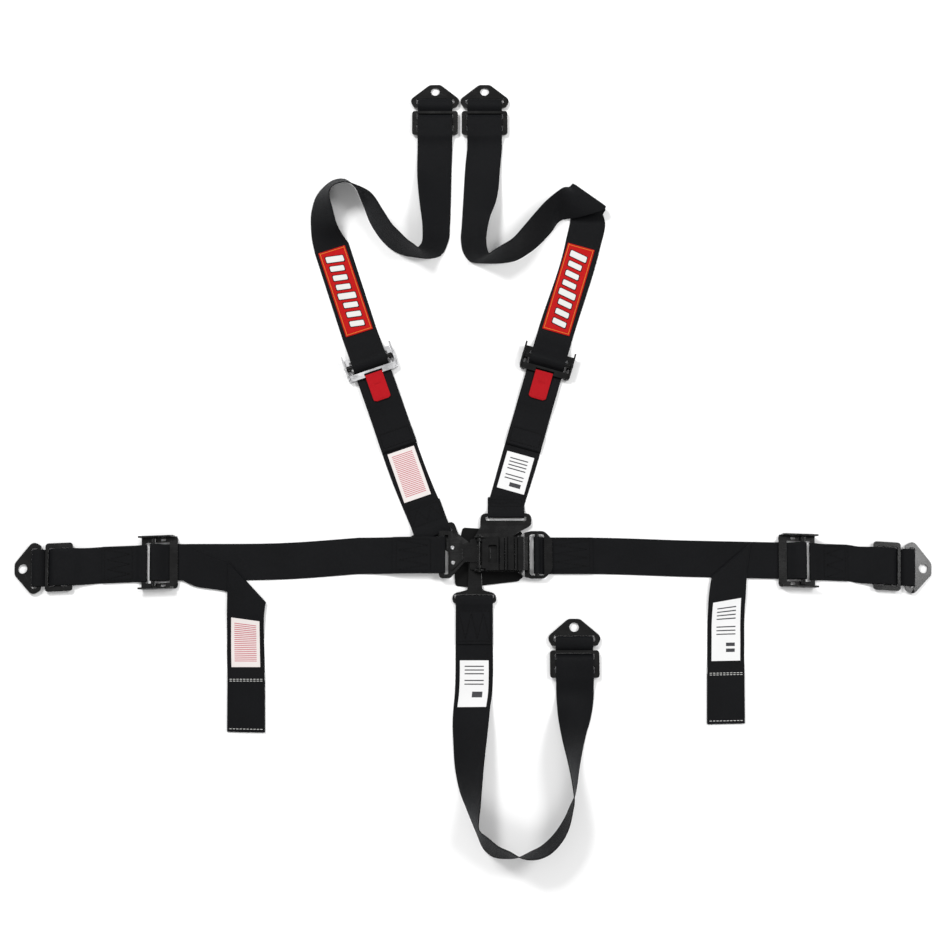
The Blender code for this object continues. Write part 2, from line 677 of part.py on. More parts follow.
def sewn_on(bar, far, top=5.1):
    """Strap points from a sewn end over the top of a flat bar, round its -u edge and out below."""
    over = [(far, SECOND), (bar[1] + 10, SECOND), (bar[1] + 6, 3.1), (bar[1] + 2.2, 4.8), (bar[1] + 0.3, top)]
    return over + bar_wrap(bar[0], LOW, top, -1) + [(bar[1], LOW), (bar[1] + 12, LOW)]


def anchor_lane(place):
    return lane(anchor_loop(), local_frame(*ANCHORS[place]))


# Edge points of the loose runs: left x, y, z then right x, y, z, in the direction away from the start.
SHOULDER_LEFT_RUN = (
    (-31, 418, 1.2, -81, 414, 7), (-32, 366, 1, -76, 356, 24), (-33, 335, 1, -72, 323, 32),
    (-36, 308, 1, -72, 298, 35), (-47, 288, 1, -75, 288, 44), (-62, 284, 1, -77, 283, 50),
    (-82, 286, 1, -83, 287, 52), (-99, 289, 1, -93, 295, 51), (-116, 297, 1, -104, 307, 50),
    (-128, 308, 1, -113, 317, 48), (-146, 334, 1, -127, 339, 48), (-161, 371, 1, -147, 367, 50),
    (-174, 397, 1, -170, 379, 48), (-187, 406, 1, -180, 383, 46), (-203, 404, 1, -193, 381, 45),
    (-215, 395, 1, -202, 374, 45), (-226, 381, 1, -204, 364, 44), (-233, 358, 1, -200, 348, 38),
    (-234, 335, 1, -194, 327, 27), (-232, 313, 1, -187, 317, 11), (-227, 291, 0.9, -179, 308, 1),
)
SHOULDER_RIGHT_RUN = (
    (40, 425, 4, -11, 427, 1), (34, 368, 16, -14, 374, 1), (23, 330, 32, -16, 335, 1),
    (19, 302, 36, -17, 308, 1), (20, 286, 40, -13, 291, 1), (23, 276, 45, -3, 279, 1),
    (30, 279, 50, 17, 277, 1), (42, 287, 50, 39, 277, 1), (56, 297, 48, 59, 280, 1),
    (72, 317, 44, 79, 291, 1), (88, 339, 38, 97, 306, 1), (104, 357, 39, 113, 324, 1),
    (124, 373, 42, 129, 343, 1), (131, 380, 34, 152, 344, 8), (136, 384, 25, 170, 347, 14),
    (140, 388, 18, 188, 352, 18), (143.5, 393, 15.5, 191.5, 357, 15.5), (145, 395, 9.4, 193, 359, 9.4),
    (143.5, 393, 3.3, 191.5, 357, 3.3), (140, 388, 0.8, 188, 352, 0.8), (142, 358, 0.8, 191, 338, 0.8),
    (134, 312, 0.8, 183, 300, 0.8),
)
SUB_RUN = (
    (26, -338, 1.3, -24.5, -338, 0.9), (23.5, -354, 8, -26, -354, 1), (22, -370, 15, -27, -370, 1),
    (18, -405, 26, -26, -404, 1), (14, -440, 36, -23, -439, 1), (12, -463, 42, -17, -466, 1),
    (10, -486, 48, -9, -486, 1), (8, -502, 51, -1, -505, 1), (8, -514, 51, 6, -521, 1),
    (20, -524, 49, 14, -539, 1), (34, -535, 50, 28, -550, 1), (48, -541, 50, 45, -552, 1),
    (60, -548, 52, 62, -550, 1), (69, -551, 50, 76, -543, 1), (84, -551, 49, 90, -536, 1),
    (101, -544, 48, 104, -524, 1), (115, -530, 48, 114, -512, 1), (125, -511, 50, 124, -496, 1),
    (130, -490, 52, 129, -485, 1), (132, -476, 52, 135, -473, 1), (129, -450, 50, 139, -457, 1),
    (124, -425, 48, 143, -432, 1), (118, -398, 38, 151, -395, 1), (114, -370, 20, 159, -368, 1),
    (113, -350, 7, 162.5, -348, 1.3),
)
LAP_LEFT_TAIL = (
    (-379, -142, 2.6, -381, -190, 2.6), (-357, -151, 2.6, -338, -197, 2.6), (-336, -158, 2.6, -283, -214, 2.6),
    (-335.3, -157.3, 3.5, -282.3, -213.3, 3.5), (-336, -158, 4.4, -283, -214, 4.4),
    (-336, -190, 4.4, -284, -223, 4.4), (-335.5, -226, 4.4, -284.5, -236, 4.4),
    (-335, -244, 2.7, -284.3, -250, 2.7), (-334.5, -262, 1.0, -284, -264, 1.0),
    (-334, -281, 0.8, -283, -282, 0.8), (-333, -300, 0.8, -282, -300, 0.8),
    (-332, -314, 2.6, -281.5, -314, 2.6), (-330, -385, 2.6, -279, -386, 2.6),
)
LAP_RIGHT_TAIL = (
    (327, -178, 2.6, 383, -131, 2.6), (326.4, -177.3, 3.5, 382.4, -130.3, 3.5), (327, -178, 4.4, 383, -131, 4.4),
    (324, -194, 4.4, 376.5, -168, 4.4), (321.5, -214, 4.2, 373, -205, 4.2),
    (320.7, -227, 2.6, 371.5, -221, 2.6), (320, -240, 1.0, 370.5, -237, 1.0),
    (319, -266, 0.8, 369.5, -265, 0.8), (318, -292, 0.8, 368.5, -291, 0.8),
    (317.5, -306, 2.6, 368, -305, 2.6), (315, -375, 2.6, 366, -374, 2.6),
)


def shoulder_web(side):
    run = pairs(SHOULDER_LEFT_RUN if side == "left" else SHOULDER_RIGHT_RUN)
    frame = local_frame(*SHOULDER_ADJUSTERS[side])
    end = hem(swap(lane(shoulder_adjuster_pass(), frame)), 24, THIRD)
    return anchor_lane("shoulder_" + side) + run + end


def lower_web(side):
    frame = local_frame(*SHOULDER_ADJUSTERS[side])
    start = [(60, SECOND), (30, SECOND), (2, SECOND), (-4, 2.9), (-9, 4.7), (-11.2, 5.1)]
    start += bar_wrap(-17, LOW, 5.1, -1) + [(-10, LOW), (60, LOW)]
    if side == "left":
        fitting = local_frame(-56, -115, 109.8)
        return lane(start + [(180, LOW)], frame) + swap(lane(sewn_on((-2, 5), 42)[::-1], fitting))
    fitting = local_frame(46, -91.5, 90)
    return lane(start + [(150, LOW)], frame) + swap(lane(sewn_on((-1.5, 3), 26)[::-1], fitting))


def sub_web():
    start = lane(sewn_on((-2, 4.5), 60) + [(76, LOW), (100, LOW)], local_frame(2, -209, -90))
    return start + pairs(SUB_RUN) + swap(anchor_lane("sub"))[::-1]


def lap_anchor_web(side):
    frame = local_frame(*LAP_ADJUSTERS[side])
    far = {"left": -79, "right": -70}[side]
    under = [(far - 2, LOW), (far + 5, LOW), (-40, LOW), (-25, LOW)] + bar_wrap(-19.5, LOW, 5.1, 1)[::-1]
    back = [(-25.2, 5.1), (-27.5, 4.8), (-31, 3.1), (-35, SECOND), (far, SECOND)]
    return anchor_lane("lap_" + side) + lane(under + back, frame)


def lap_web(side):
    through = lane(lap_adjuster_pass(), local_frame(*LAP_ADJUSTERS[side]))
    if side == "left":
        start = [(-68, 6.9), (-56, 8.6), (-43, 9.5), (-20, 9.8), (-10, 10.4), (-6.5, 11.6), (-4.3, 12.25)]
        start += bar_wrap(2.5, 7.95, 12.25, 1)
        start += [(-20, 7.95), (-43, 7.65), (-56, 6.7), (-68, 5.0), (-80, 3.2), (-95, 1.6), (-115, LOW)]
        run = at(-252, -154.5, 1.6) + through + pairs(LAP_LEFT_TAIL)
        return lane(start, local_frame(-42, LATCH_Y - 0.5, 0)) + hem(run, 68, LOW)
    start = [(-77, SECOND), (-18, SECOND), (-12, 2.8), (-7.5, 4.0), (-4.6, 5.6)]
    start += arc(0, 7.0, 3.85, 170, -90, 9) + [(-4, 2.3), (-8, 1.1), (-14, LOW), (-80, LOW)]
    run = at(300, -151.5, 179) + through + pairs(LAP_RIGHT_TAIL)
    return lane(start, local_frame(88, LATCH_Y - 0.5, 180)) + hem(run, 66, LOW)


def on_strap(stations, half, lift, turned_over=False):
    """The pairs of a narrower strip that lies on the strap's face."""
    rows = []
    for (left, right), normal in zip(stations, section_normals(stations)):
        middle = (left + right) / 2
        across = (left - right).normalized() * half
        offset = normal * (-lift if turned_over else lift)
        rows.append((middle + across + offset, middle - across + offset))
    return rows


LABEL_THICK = 0.5
LABEL_LIFT = WEB_THICK / 2 + 0.3 + LABEL_THICK / 2
PATCH_THICK = 1.0
PATCH_LIFT = WEB_THICK / 2 + 0.3 + PATCH_THICK / 2


def add_patches():
    spots = {"left": (-201, 291, -163, 178), "right": (156, 302, 120, 181)}
    for side, (x0, y0, x1, y1) in spots.items():
        heading = math.degrees(math.atan2(y1 - y0, x1 - x0))
        rows = at(x0, y0, heading) + at(x1, y1, heading)
        finish("patch_" + side, ribbon(on_strap(rows, 20, PATCH_LIFT), 40, PATCH_THICK), RED_PATCH)


def add_labels():
    left = local_frame(*SHOULDER_ADJUSTERS["left"])
    right = local_frame(*SHOULDER_ADJUSTERS["right"])
    rows = {
        "shoulder_left": lane([(132, LOW), (205, LOW)], left),
        "shoulder_right": lane([(138, LOW), (192, LOW)], right),
        "lap_left": [(b, a) for a, b in pairs(LAP_LEFT_TAIL)[6:11]],
        "lap_right": pairs(LAP_RIGHT_TAIL)[4:9],
        "sub": lane([(82, LOW), (100, LOW)], local_frame(2, -209, -90)) + pairs(SUB_RUN[:2]),
    }
    for place, stations in rows.items():
        up = section_normals(stations)[0].z > 0
        strip = on_strap(stations, 19.5, LABEL_LIFT, not up)
        finish("label_" + place, ribbon(strip, 22, LABEL_THICK), LABEL)


def add_straps():
    for side in ("left", "right"):
        finish("shoulder_web_" + side, ribbon(shoulder_web(side)), WEBBING)
        finish("lower_web_" + side, ribbon(lower_web(side)), WEBBING)
        finish("lap_anchor_web_" + side, ribbon(lap_anchor_web(side)), WEBBING)
        finish("lap_web_" + side, ribbon(lap_web(side)), WEBBING)
    finish("sub_web", ribbon(sub_web()), WEBBING)
    add_patches()
    add_labels()


clear_scene()
add_hardware()
add_straps()
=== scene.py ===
"""The racing harness's looks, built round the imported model. Lengths are millimetres until mesh_object()."""

import json
import math

import bmesh
import bpy
import numpy as np
from mathutils import Matrix, Vector

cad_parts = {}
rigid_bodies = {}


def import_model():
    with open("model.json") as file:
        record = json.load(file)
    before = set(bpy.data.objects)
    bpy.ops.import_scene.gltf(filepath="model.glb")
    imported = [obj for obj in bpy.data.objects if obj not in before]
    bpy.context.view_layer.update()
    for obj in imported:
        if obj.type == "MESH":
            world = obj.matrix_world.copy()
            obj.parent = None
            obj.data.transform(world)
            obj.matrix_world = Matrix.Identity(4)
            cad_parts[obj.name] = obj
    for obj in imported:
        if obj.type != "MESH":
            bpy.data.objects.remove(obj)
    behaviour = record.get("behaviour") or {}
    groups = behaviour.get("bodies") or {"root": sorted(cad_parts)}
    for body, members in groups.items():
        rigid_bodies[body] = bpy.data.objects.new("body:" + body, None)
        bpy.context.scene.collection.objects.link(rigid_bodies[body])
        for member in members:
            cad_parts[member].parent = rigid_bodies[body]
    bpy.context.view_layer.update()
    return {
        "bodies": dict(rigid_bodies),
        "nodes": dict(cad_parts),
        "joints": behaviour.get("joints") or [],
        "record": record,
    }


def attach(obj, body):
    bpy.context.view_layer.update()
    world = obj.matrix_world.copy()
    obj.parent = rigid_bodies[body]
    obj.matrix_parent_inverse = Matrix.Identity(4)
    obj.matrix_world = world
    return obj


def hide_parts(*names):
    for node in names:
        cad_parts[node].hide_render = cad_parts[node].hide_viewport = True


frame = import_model()

MM = 0.001
WEB_WIDTH = 50.8
WEB_THICK = 1.5
GAP = 0.3
LAYER = WEB_THICK + GAP
LAY = WEB_THICK / 2 + 0.05
BEND_STEPS = 6
PLATE_AXIS_Z = 4.6
PLATE_LOOP = 3.8
PLATE_LOOP_END = -6
LATCH_Y = -147.0
TAB_WIDTH = 25.0
TAB_LENGTH = 42.0
STEP = 5.0


def local_frame(x, y, heading, z=0.0, pitch=0.0):
    """u along heading (degrees from +X), v to its left; pitch lifts the +u side."""
    turn = Matrix.Rotation(math.radians(heading), 4, "Z")
    tilt = Matrix.Rotation(-math.radians(pitch), 4, "Y")
    return Matrix.Translation((x, y, z)) @ turn @ tilt


def arc(cx, cy, radius, start, end, steps):
    """Points on an arc, its angles in degrees."""
    angles = [math.radians(start + (end - start) * i / steps) for i in range(steps + 1)]
    return [(cx + radius * math.cos(a), cy + radius * math.sin(a)) for a in angles]


def rounded(corners, radii, steps=3):
    """A polygon with its corners filleted."""
    points = []
    count = len(corners)
    if not isinstance(radii, (list, tuple)):
        radii = [radii] * count
    for i, corner in enumerate(corners):
        here = Vector(corner)
        back = (Vector(corners[i - 1]) - here).normalized()
        ahead = (Vector(corners[(i + 1) % count]) - here).normalized()
        if radii[i] <= 0:
            points.append(tuple(here))
            continue
        half = back.angle(ahead) / 2
        centre = here + (back + ahead).normalized() * radii[i] / math.sin(half)
        first = here + back * radii[i] / math.tan(half) - centre
        last = here + ahead * radii[i] / math.tan(half) - centre
        sweep = first.angle_signed(last)
        for k in range(steps + 1):
            turn = -sweep * k / steps
            spoke = Matrix.Rotation(turn, 2) @ first
            points.append(tuple(centre + spoke))
    return points


def lane(points, frame):
    """Edge pairs of a strap that follows (u, z) points in a hardware frame."""
    half = WEB_WIDTH / 2
    return [(frame @ Vector((u, half, z)), frame @ Vector((u, -half, z))) for u, z in points]


def pairs(rows):
    """Edge pairs written as six numbers: left x, y, z and right x, y, z."""
    return [(Vector(row[:3]), Vector(row[3:])) for row in rows]


def smooth_pairs(stations, spacing):
    """A cubic through the stations, with more sections where they lie far apart."""
    pts = np.array([[*a, *b] for a, b in stations], float)
    mid = (pts[:, :3] + pts[:, 3:]) / 2
    step = np.maximum(np.linalg.norm(np.diff(mid, axis=0), axis=1), 0.01)
    slope = np.diff(pts, axis=0) / step[:, None]
    tangent = np.empty_like(pts)
    tangent[0] = slope[0]
    tangent[-1] = slope[-1]
    weight = step[:-1, None] + step[1:, None]
    tangent[1:-1] = (slope[:-1] * step[1:, None] + slope[1:] * step[:-1, None]) / weight
    rows = [pts[0]]
    for i, length in enumerate(step):
        count = max(1, round(length / spacing))
        for k in range(1, count + 1):
            t = k / count
            begin = tangent[i] if i and step[i - 1] > length * 0.3 else slope[i]
            end = tangent[i + 1] if i + 1 < len(step) and step[i + 1] > length * 0.3 else slope[i]
            h = (2 * t**3 - 3 * t**2 + 1, t**3 - 2 * t**2 + t, 3 * t**2 - 2 * t**3, t**3 - t**2)
            rows.append(
                h[0] * pts[i]
                + h[1] * length * begin
                + h[2] * pts[i + 1]
                + h[3] * length * end
            )
    return [(Vector(row[:3]), Vector(row[3:])) for row in rows]


def section_normals(rows):
    """The direction of the strap's thickness at each section."""
    normals = []
    mids = [(a + b) / 2 for a, b in rows]
    for i, (left, right) in enumerate(rows):
        ahead = (mids[min(i + 1, len(rows) - 1)] - mids[max(i - 1, 0)]).normalized()
        across = (left - right).normalized()
        normals.append(ahead.cross(across).normalized())
    return normals


def bend(cu, cz, radius, start, end, steps=BEND_STEPS):
    return arc(cu, cz, radius, start, end, steps)


def anchor_loop():
    """Strap points (u, z) of the tail, the turn through the anchor plate and the way back over the slide."""
    low = LAY
    tail = [(62, low), (48, low), (41, low + 0.1), (38, 1.5), (34.8, 4.2), (32.2, 7.2)]
    tail += [(29.5, 8.1), (24, 8.1)]
    tail += [(20.8, 7.6), (18.6, 5.6), (17.0, 3.4), (15.6, 1.7)]
    tail += [(14, low + 0.15), (12.5, low + 0.05), (6, low)]
    turn = [(0, low)] + bend(PLATE_LOOP_END, PLATE_AXIS_Z, PLATE_LOOP, 270, 90)
    turn += [(0, PLATE_AXIS_Z + PLATE_LOOP)]
    back = [(3.6, 7.2), (5.6, 4.9), (7.6, 3.2), (9.2, 2.72), (12.9, 2.72)]
    back += [(14.6, 4.2), (16.0, 6.9), (18.2, 9.4), (20.8, 10.1)]
    back += [(24, 10.1), (29, 10.1), (35, 9.3), (41, 8.3), (47, 7.9)]
    back += [(50, 7.0), (54, 5.0), (60, 3.3), (66, 2.5)]
    return tail + turn + back


def flat_wrap(u, low, high, side=1):
    """Points round the end of a flat bar at u, from the upper layer at high to the lower one at low."""
    top, base = high - 1.05, low + 1.05
    if side > 0:
        return arc(u, top, 1.05, 90, 0, 3) + arc(u, base, 1.05, 0, -90, 3)
    return arc(u, top, 1.05, 90, 180, 3) + arc(u, base, 1.05, 180, 270, 3)


def swap(stations):
    return [(b, a) for a, b in stations]


def hem(last, length, back_z):
    """The strap's end, folded back on itself."""
    left, right = last[-1]
    before = (last[-2][0] + last[-2][1]) / 2
    ahead = (left + right) / 2 - before
    ahead.z = 0
    ahead.normalize()
    rise = Vector((0, 0, back_z - left.z))
    outer = [(left + ahead * 0.9 + rise / 2, right + ahead * 0.9 + rise / 2), (left + rise, right + rise)]
    home = ahead * length
    return last + outer + [(left + rise - home, right + rise - home)]


LOW = LAY
SECOND = LAY + LAYER
THIRD = LAY + 2 * LAYER


def shoulder_adjuster_pass():
    """Upper strap over the knurled bar, under the lip and out as the tail."""
    return [(-50, LOW), (-37, 1.6), (-28, 4.2), (-20, 7.0), (-14, 8.7), (-8.5, 11.7), (-5, 13.1), (-2, 13.6),
            (1.5, 13.0), (4.2, 10.9), (5.3, 8.6), (6.4, 6.4), (9.3, 4.75), (13.5, THIRD), (30, THIRD),
            (60, THIRD), (70, 3.1), (78, SECOND), (127, SECOND)]


def lap_adjuster_pass():
    """Lap strap under the lip, round the knurled bar and out over itself."""
    turn = bend(-8, 7.6, 4.55, 270, 90, 8)
    back = [(-6, 12.1), (-1.5, 11.0), (3, 8.6), (7.5, 5.5), (11, 3.4), (14.5, 2.7), (28, SECOND)]
    return [(30, LOW), (14, LOW), (4, 1.2), (-2, 2.4), (-6, 3.0)] + turn + back


ANCHORS = {
    "shoulder_left": (-55.5, 519, -90),
    "shoulder_right": (17, 519, -90),
    "lap_left": (-595, -165, 2.5),
    "lap_right": (595.4, -164, 176.5),
    "sub": (138, -269, -90),
}
SHOULDER_ADJUSTERS = {"left": (-145, 126, -70.5), "right": (105, 128, -106)}
LAP_ADJUSTERS = {"left": (-430, -157.5, 2.2), "right": (445, -155, 178)}
SHOULDER_LIP_Z = 6.7


def at(x, y, heading, z=LOW):
    return lane([(0, z)], local_frame(x, y, heading))


def bar_wrap(u, low, high, side):
    return flat_wrap(u, low, high, side)


def sewn_on(bar, far, top=5.1):
    """Strap points from a sewn end over the top of a flat bar, round its -u edge and out below."""
    over = [(far, SECOND), (bar[1] + 10, SECOND), (bar[1] + 6, 3.1), (bar[1] + 2.2, 4.8), (bar[1] + 0.3, top)]
    return over + bar_wrap(bar[0], LOW, top, -1) + [(bar[1], LOW), (bar[1] + 12, LOW)]


def anchor_lane(place):
    return lane(anchor_loop(), local_frame(*ANCHORS[place]))


# Edge points of the loose runs: left x, y, z then right x, y, z, in the direction away from the start.
SHOULDER_LEFT_RUN = (
    (-31, 418, 1.2, -81, 414, 7), (-32, 366, 1, -76, 356, 24), (-33, 335, 1, -72, 323, 32),
    (-36, 308, 1, -72, 298, 35), (-47, 288, 1, -75, 288, 44), (-62, 284, 1, -77, 283, 50),
    (-82, 286, 1, -83, 287, 52), (-99, 289, 1, -93, 295, 51), (-116, 297, 1, -104, 307, 50),
    (-128, 308, 1, -113, 317, 48), (-146, 334, 1, -127, 339, 48), (-161, 371, 1, -147, 367, 50),
    (-174, 397, 1, -170, 379, 48), (-187, 406, 1, -180, 383, 46), (-203, 404, 1, -193, 381, 45),
    (-215, 395, 1, -202, 374, 45), (-226, 381, 1, -204, 364, 44), (-233, 358, 1, -200, 348, 38),
    (-234, 335, 1, -194, 327, 27), (-232, 313, 1, -187, 317, 11), (-227, 291, 0.9, -179, 308, 1),
)
SHOULDER_RIGHT_RUN = (
    (40, 425, 4, -11, 427, 1), (34, 368, 16, -14, 374, 1), (23, 330, 32, -16, 335, 1),
    (19, 302, 36, -17, 308, 1), (20, 286, 40, -13, 291, 1), (23, 276, 45, -3, 279, 1),
    (30, 279, 50, 17, 277, 1), (42, 287, 50, 39, 277, 1), (56, 297, 48, 59, 280, 1),
    (72, 317, 44, 79, 291, 1), (88, 339, 38, 97, 306, 1), (104, 357, 39, 113, 324, 1),
    (124, 373, 42, 129, 343, 1), (131, 380, 34, 152, 344, 8), (136, 384, 25, 170, 347, 14),
    (140, 388, 18, 188, 352, 18), (143.5, 393, 15.5, 191.5, 357, 15.5), (147.5, 393.8, 9.4, 191, 361, 9.4),
    (143.5, 393, 3.3, 191.5, 357, 3.3), (140, 388, 0.8, 188, 352, 0.8), (142, 358, 0.8, 191, 338, 0.8),
    (134, 312, 0.8, 183, 300, 0.8),
)
SUB_RUN = (
    (26, -338, 1.3, -24.5, -338, 0.9), (23.5, -354, 8, -26, -354, 1), (22, -370, 15, -27, -370, 1),
    (18, -405, 26, -26, -404, 1), (14, -440, 36, -23, -439, 1), (12, -463, 42, -17, -466, 1),
    (10, -486, 48, -9, -486, 1), (8, -502, 51, -1, -505, 1), (8, -514, 51, 6, -521, 1),
    (20, -524, 49, 14, -539, 1), (34, -535, 50, 28, -550, 1), (48, -541, 50, 45, -552, 1),
    (60, -548, 52, 62, -550, 1), (69, -551, 50, 76, -543, 1), (84, -551, 49, 90, -536, 1),
    (101, -544, 48, 104, -524, 1), (115, -530, 48, 114, -512, 1), (125, -511, 50, 124, -496, 1),
    (130, -490, 52, 129, -485, 1), (132, -476, 52, 135, -473, 1), (129, -450, 50, 139, -457, 1),
    (124, -425, 48, 143, -432, 1), (118, -398, 38, 151, -395, 1), (114, -370, 20, 159, -368, 1),
    (113, -350, 7, 162.5, -348, 1.3),
)
LAP_LEFT_TAIL = (
    (-379, -142, 2.6, -381, -190, 2.6), (-357, -151, 2.6, -338, -197, 2.6),
    (-336, -158, 2.6, -283, -214, 2.6),
    (-335.3, -157.3, 3.5, -282.3, -213.3, 3.5), (-336, -158, 4.4, -283, -214, 4.4),
    (-336, -190, 4.4, -284, -223, 4.4), (-335.5, -226, 4.4, -284.5, -236, 4.4),
    (-335, -244, 2.7, -284.3, -250, 2.7), (-334.5, -262, 1.0, -284, -264, 1.0),
    (-334, -281, 0.8, -283, -282, 0.8), (-333, -300, 0.8, -282, -300, 0.8),
    (-332, -314, 2.6, -281.5, -314, 2.6), (-330, -385, 2.6, -279, -386, 2.6),
)
LAP_RIGHT_TAIL = (
    (327, -178, 2.6, 383, -131, 2.6), (326.4, -177.3, 3.5, 382.4, -130.3, 3.5),
    (327, -178, 4.4, 383, -131, 4.4),
    (324, -194, 4.4, 376.5, -168, 4.4), (321.5, -214, 4.2, 373, -205, 4.2),
    (320.7, -227, 2.6, 371.5, -221, 2.6), (320, -240, 1.0, 370.5, -237, 1.0),
    (319, -266, 0.8, 369.5, -265, 0.8), (318, -292, 0.8, 368.5, -291, 0.8),
    (317.5, -306, 2.6, 368, -305, 2.6), (315, -375, 2.6, 366, -374, 2.6),
)


def shoulder_web(side):
    run = pairs(SHOULDER_LEFT_RUN if side == "left" else SHOULDER_RIGHT_RUN)
    frame = local_frame(*SHOULDER_ADJUSTERS[side])
    end = hem(swap(lane(shoulder_adjuster_pass(), frame)), 24, THIRD)
    return anchor_lane("shoulder_" + side) + run + end


def lower_web(side):
    frame = local_frame(*SHOULDER_ADJUSTERS[side])
    start = [(60, SECOND), (30, SECOND), (2, SECOND), (-4, 2.9), (-9, 4.7), (-11.2, 5.1)]
    start += bar_wrap(-17, LOW, 5.1, -1) + [(-10, LOW), (60, LOW)]
    if side == "left":
        fitting = local_frame(-56, -115, 109.8)
        return lane(start + [(180, LOW)], frame) + swap(lane(sewn_on((-5, 5), 42)[::-1], fitting))
    fitting = local_frame(46, -91.5, 90)
    return lane(start + [(150, LOW)], frame) + swap(lane(sewn_on((-1.5, 3), 26)[::-1], fitting))


def sub_web():
    start = lane(sewn_on((-5, 4.5), 60) + [(76, LOW), (100, LOW)], local_frame(2, -209, -90))
    return start + pairs(SUB_RUN) + swap(anchor_lane("sub"))[::-1]


def lap_anchor_web(side):
    frame = local_frame(*LAP_ADJUSTERS[side])
    far = {"left": -79, "right": -70}[side]
    under = [(far - 2, LOW), (far + 5, LOW), (-40, LOW), (-25, LOW)] + bar_wrap(-19.5, LOW, 5.1, 1)[::-1]
    back = [(-25.2, 5.1), (-27.5, 4.8), (-31, 3.1), (-35, SECOND), (far, SECOND)]
    return anchor_lane("lap_" + side) + lane(under + back, frame)


def lap_web(side):
    through = lane(lap_adjuster_pass(), local_frame(*LAP_ADJUSTERS[side]))
    if side == "left":
        start = [(-68, 6.9), (-56, 8.6), (-43, 9.5), (-20, 9.8), (-10, 10.4), (-6.5, 11.6), (-4.3, 12.25)]
        start += bar_wrap(2.5, 7.95, 12.25, 1)
        start += [(-20, 7.95), (-43, 7.65), (-56, 6.7), (-68, 5.0), (-80, 3.2), (-95, 1.6), (-115, LOW)]
        run = at(-252, -154.5, 1.6) + through + pairs(LAP_LEFT_TAIL)
        return lane(start, local_frame(-42, LATCH_Y - 0.5, 0)) + hem(run, 68, LOW)
    start = [(-77, SECOND), (-18, SECOND), (-12, 2.8), (-7.5, 4.0), (-4.6, 5.6)]
    start += arc(0, 7.0, 3.85, 170, -90, 9) + [(-4, 2.3), (-8, 1.1), (-14, LOW), (-80, LOW)]
    run = at(300, -151.5, 179) + through + pairs(LAP_RIGHT_TAIL)
    return lane(start, local_frame(88, LATCH_Y - 0.5, 180)) + hem(run, 66, LOW)


def on_strap(stations, half, lift, turned_over=False):
    """The pairs of a narrower strip that lies on the strap's face."""
    rows = []
    for (left, right), normal in zip(stations, section_normals(stations)):
        middle = (left + right) / 2
        across = (left - right).normalized() * half
        offset = normal * (-lift if turned_over else lift)
        rows.append((middle + across + offset, middle - across + offset))
    return rows


# Meshes


def mesh_object(name, bm, material, body="harness", smooth_angle=40):
    """A millimetre bmesh as an object in metres that rides on a body."""
    bmesh.ops.recalc_face_normals(bm, faces=bm.faces)
    if bm.calc_volume(signed=True) < 0:
        bmesh.ops.reverse_faces(bm, faces=bm.faces)
    bm.transform(Matrix.Scale(MM, 4))
    mesh = bpy.data.meshes.new(name)
    bm.to_mesh(mesh)
    bm.free()
    mesh.shade_smooth()
    mesh.set_sharp_from_angle(angle=math.radians(smooth_angle))
    mesh.materials.append(material)
    obj = bpy.data.objects.new(name, mesh)
    bpy.context.scene.collection.objects.link(obj)
    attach(obj, body)
    return obj


def band_profile(width, thick):
    """Half-rounded cross-section of a woven band: (across, up) points round its edge, in order."""
    half, up = width / 2, thick / 2
    across = [half - 0.35, half - 1.1, half * 0.72, half * 0.36, 0]
    across += [-half * 0.36, -half * 0.72, 1.1 - half, 0.35 - half]
    rise = [0.72, 0.96, 1, 1, 1, 1, 1, 0.96, 0.72]
    top = [(a, up * r) for a, r in zip(across, rise)]
    under = [(a, -h) for a, h in reversed(top)]
    return [(half, 0.0), *top, (-half, 0.0), *under]


def band_rows(stations, step=STEP):
    """Fine rows along a strap as (left, right, normal, distance along)."""
    rows = smooth_pairs(stations, step)
    normals = section_normals(rows)
    along = 0.0
    out = []
    for i, ((left, right), normal) in enumerate(zip(rows, normals)):
        if i:
            along += ((left + right) / 2 - (rows[i - 1][0] + rows[i - 1][1]) / 2).length
        out.append((left, right, normal, along))
    return out


def band(rows, width, thick, ripple=0.0):
    """A woven band through rows. The weave attribute holds metres across and along it."""
    bm = bmesh.new()
    weave = bm.verts.layers.float_vector.new("weave")
    profile = band_profile(width, thick)
    rings = []
    for left, right, normal, along in rows:
        middle = (left + right) / 2
        across = (left - right) / width
        ring = []
        for a, up in profile:
            sag = ripple * math.sin(along / 23.0 + a / 21.0) * math.sin(along / 61.0)
            vert = bm.verts.new(middle + across * a + normal * (up + sag))
            vert[weave] = (a * MM, along * MM, 0)
            ring.append(vert)
        rings.append(ring)
    count = len(profile)
    for first, second in zip(rings, rings[1:]):
        for k in range(count):
            bm.faces.new((first[k], first[k - 1], second[k - 1], second[k]))
    bm.faces.new(rings[0])
    bm.faces.new(rings[-1])
    return bm


def on_band(rows, along, across, lift, width=WEB_WIDTH):
    """A point on the strap's face, the direction along it, and its normal."""
    for first, second in zip(rows, rows[1:]):
        if second[3] >= along or second is rows[-1]:
            break
    t = min(max((along - first[3]) / max(second[3] - first[3], 1e-6), 0), 1)
    left = first[0].lerp(second[0], t)
    right = first[1].lerp(second[1], t)
    normal = first[2].lerp(second[2], t).normalized()
    sign = 1 if lift > 0 else -1
    base = (left + right) / 2 + (left - right) * across / width
    return base + normal * lift, sign * normal


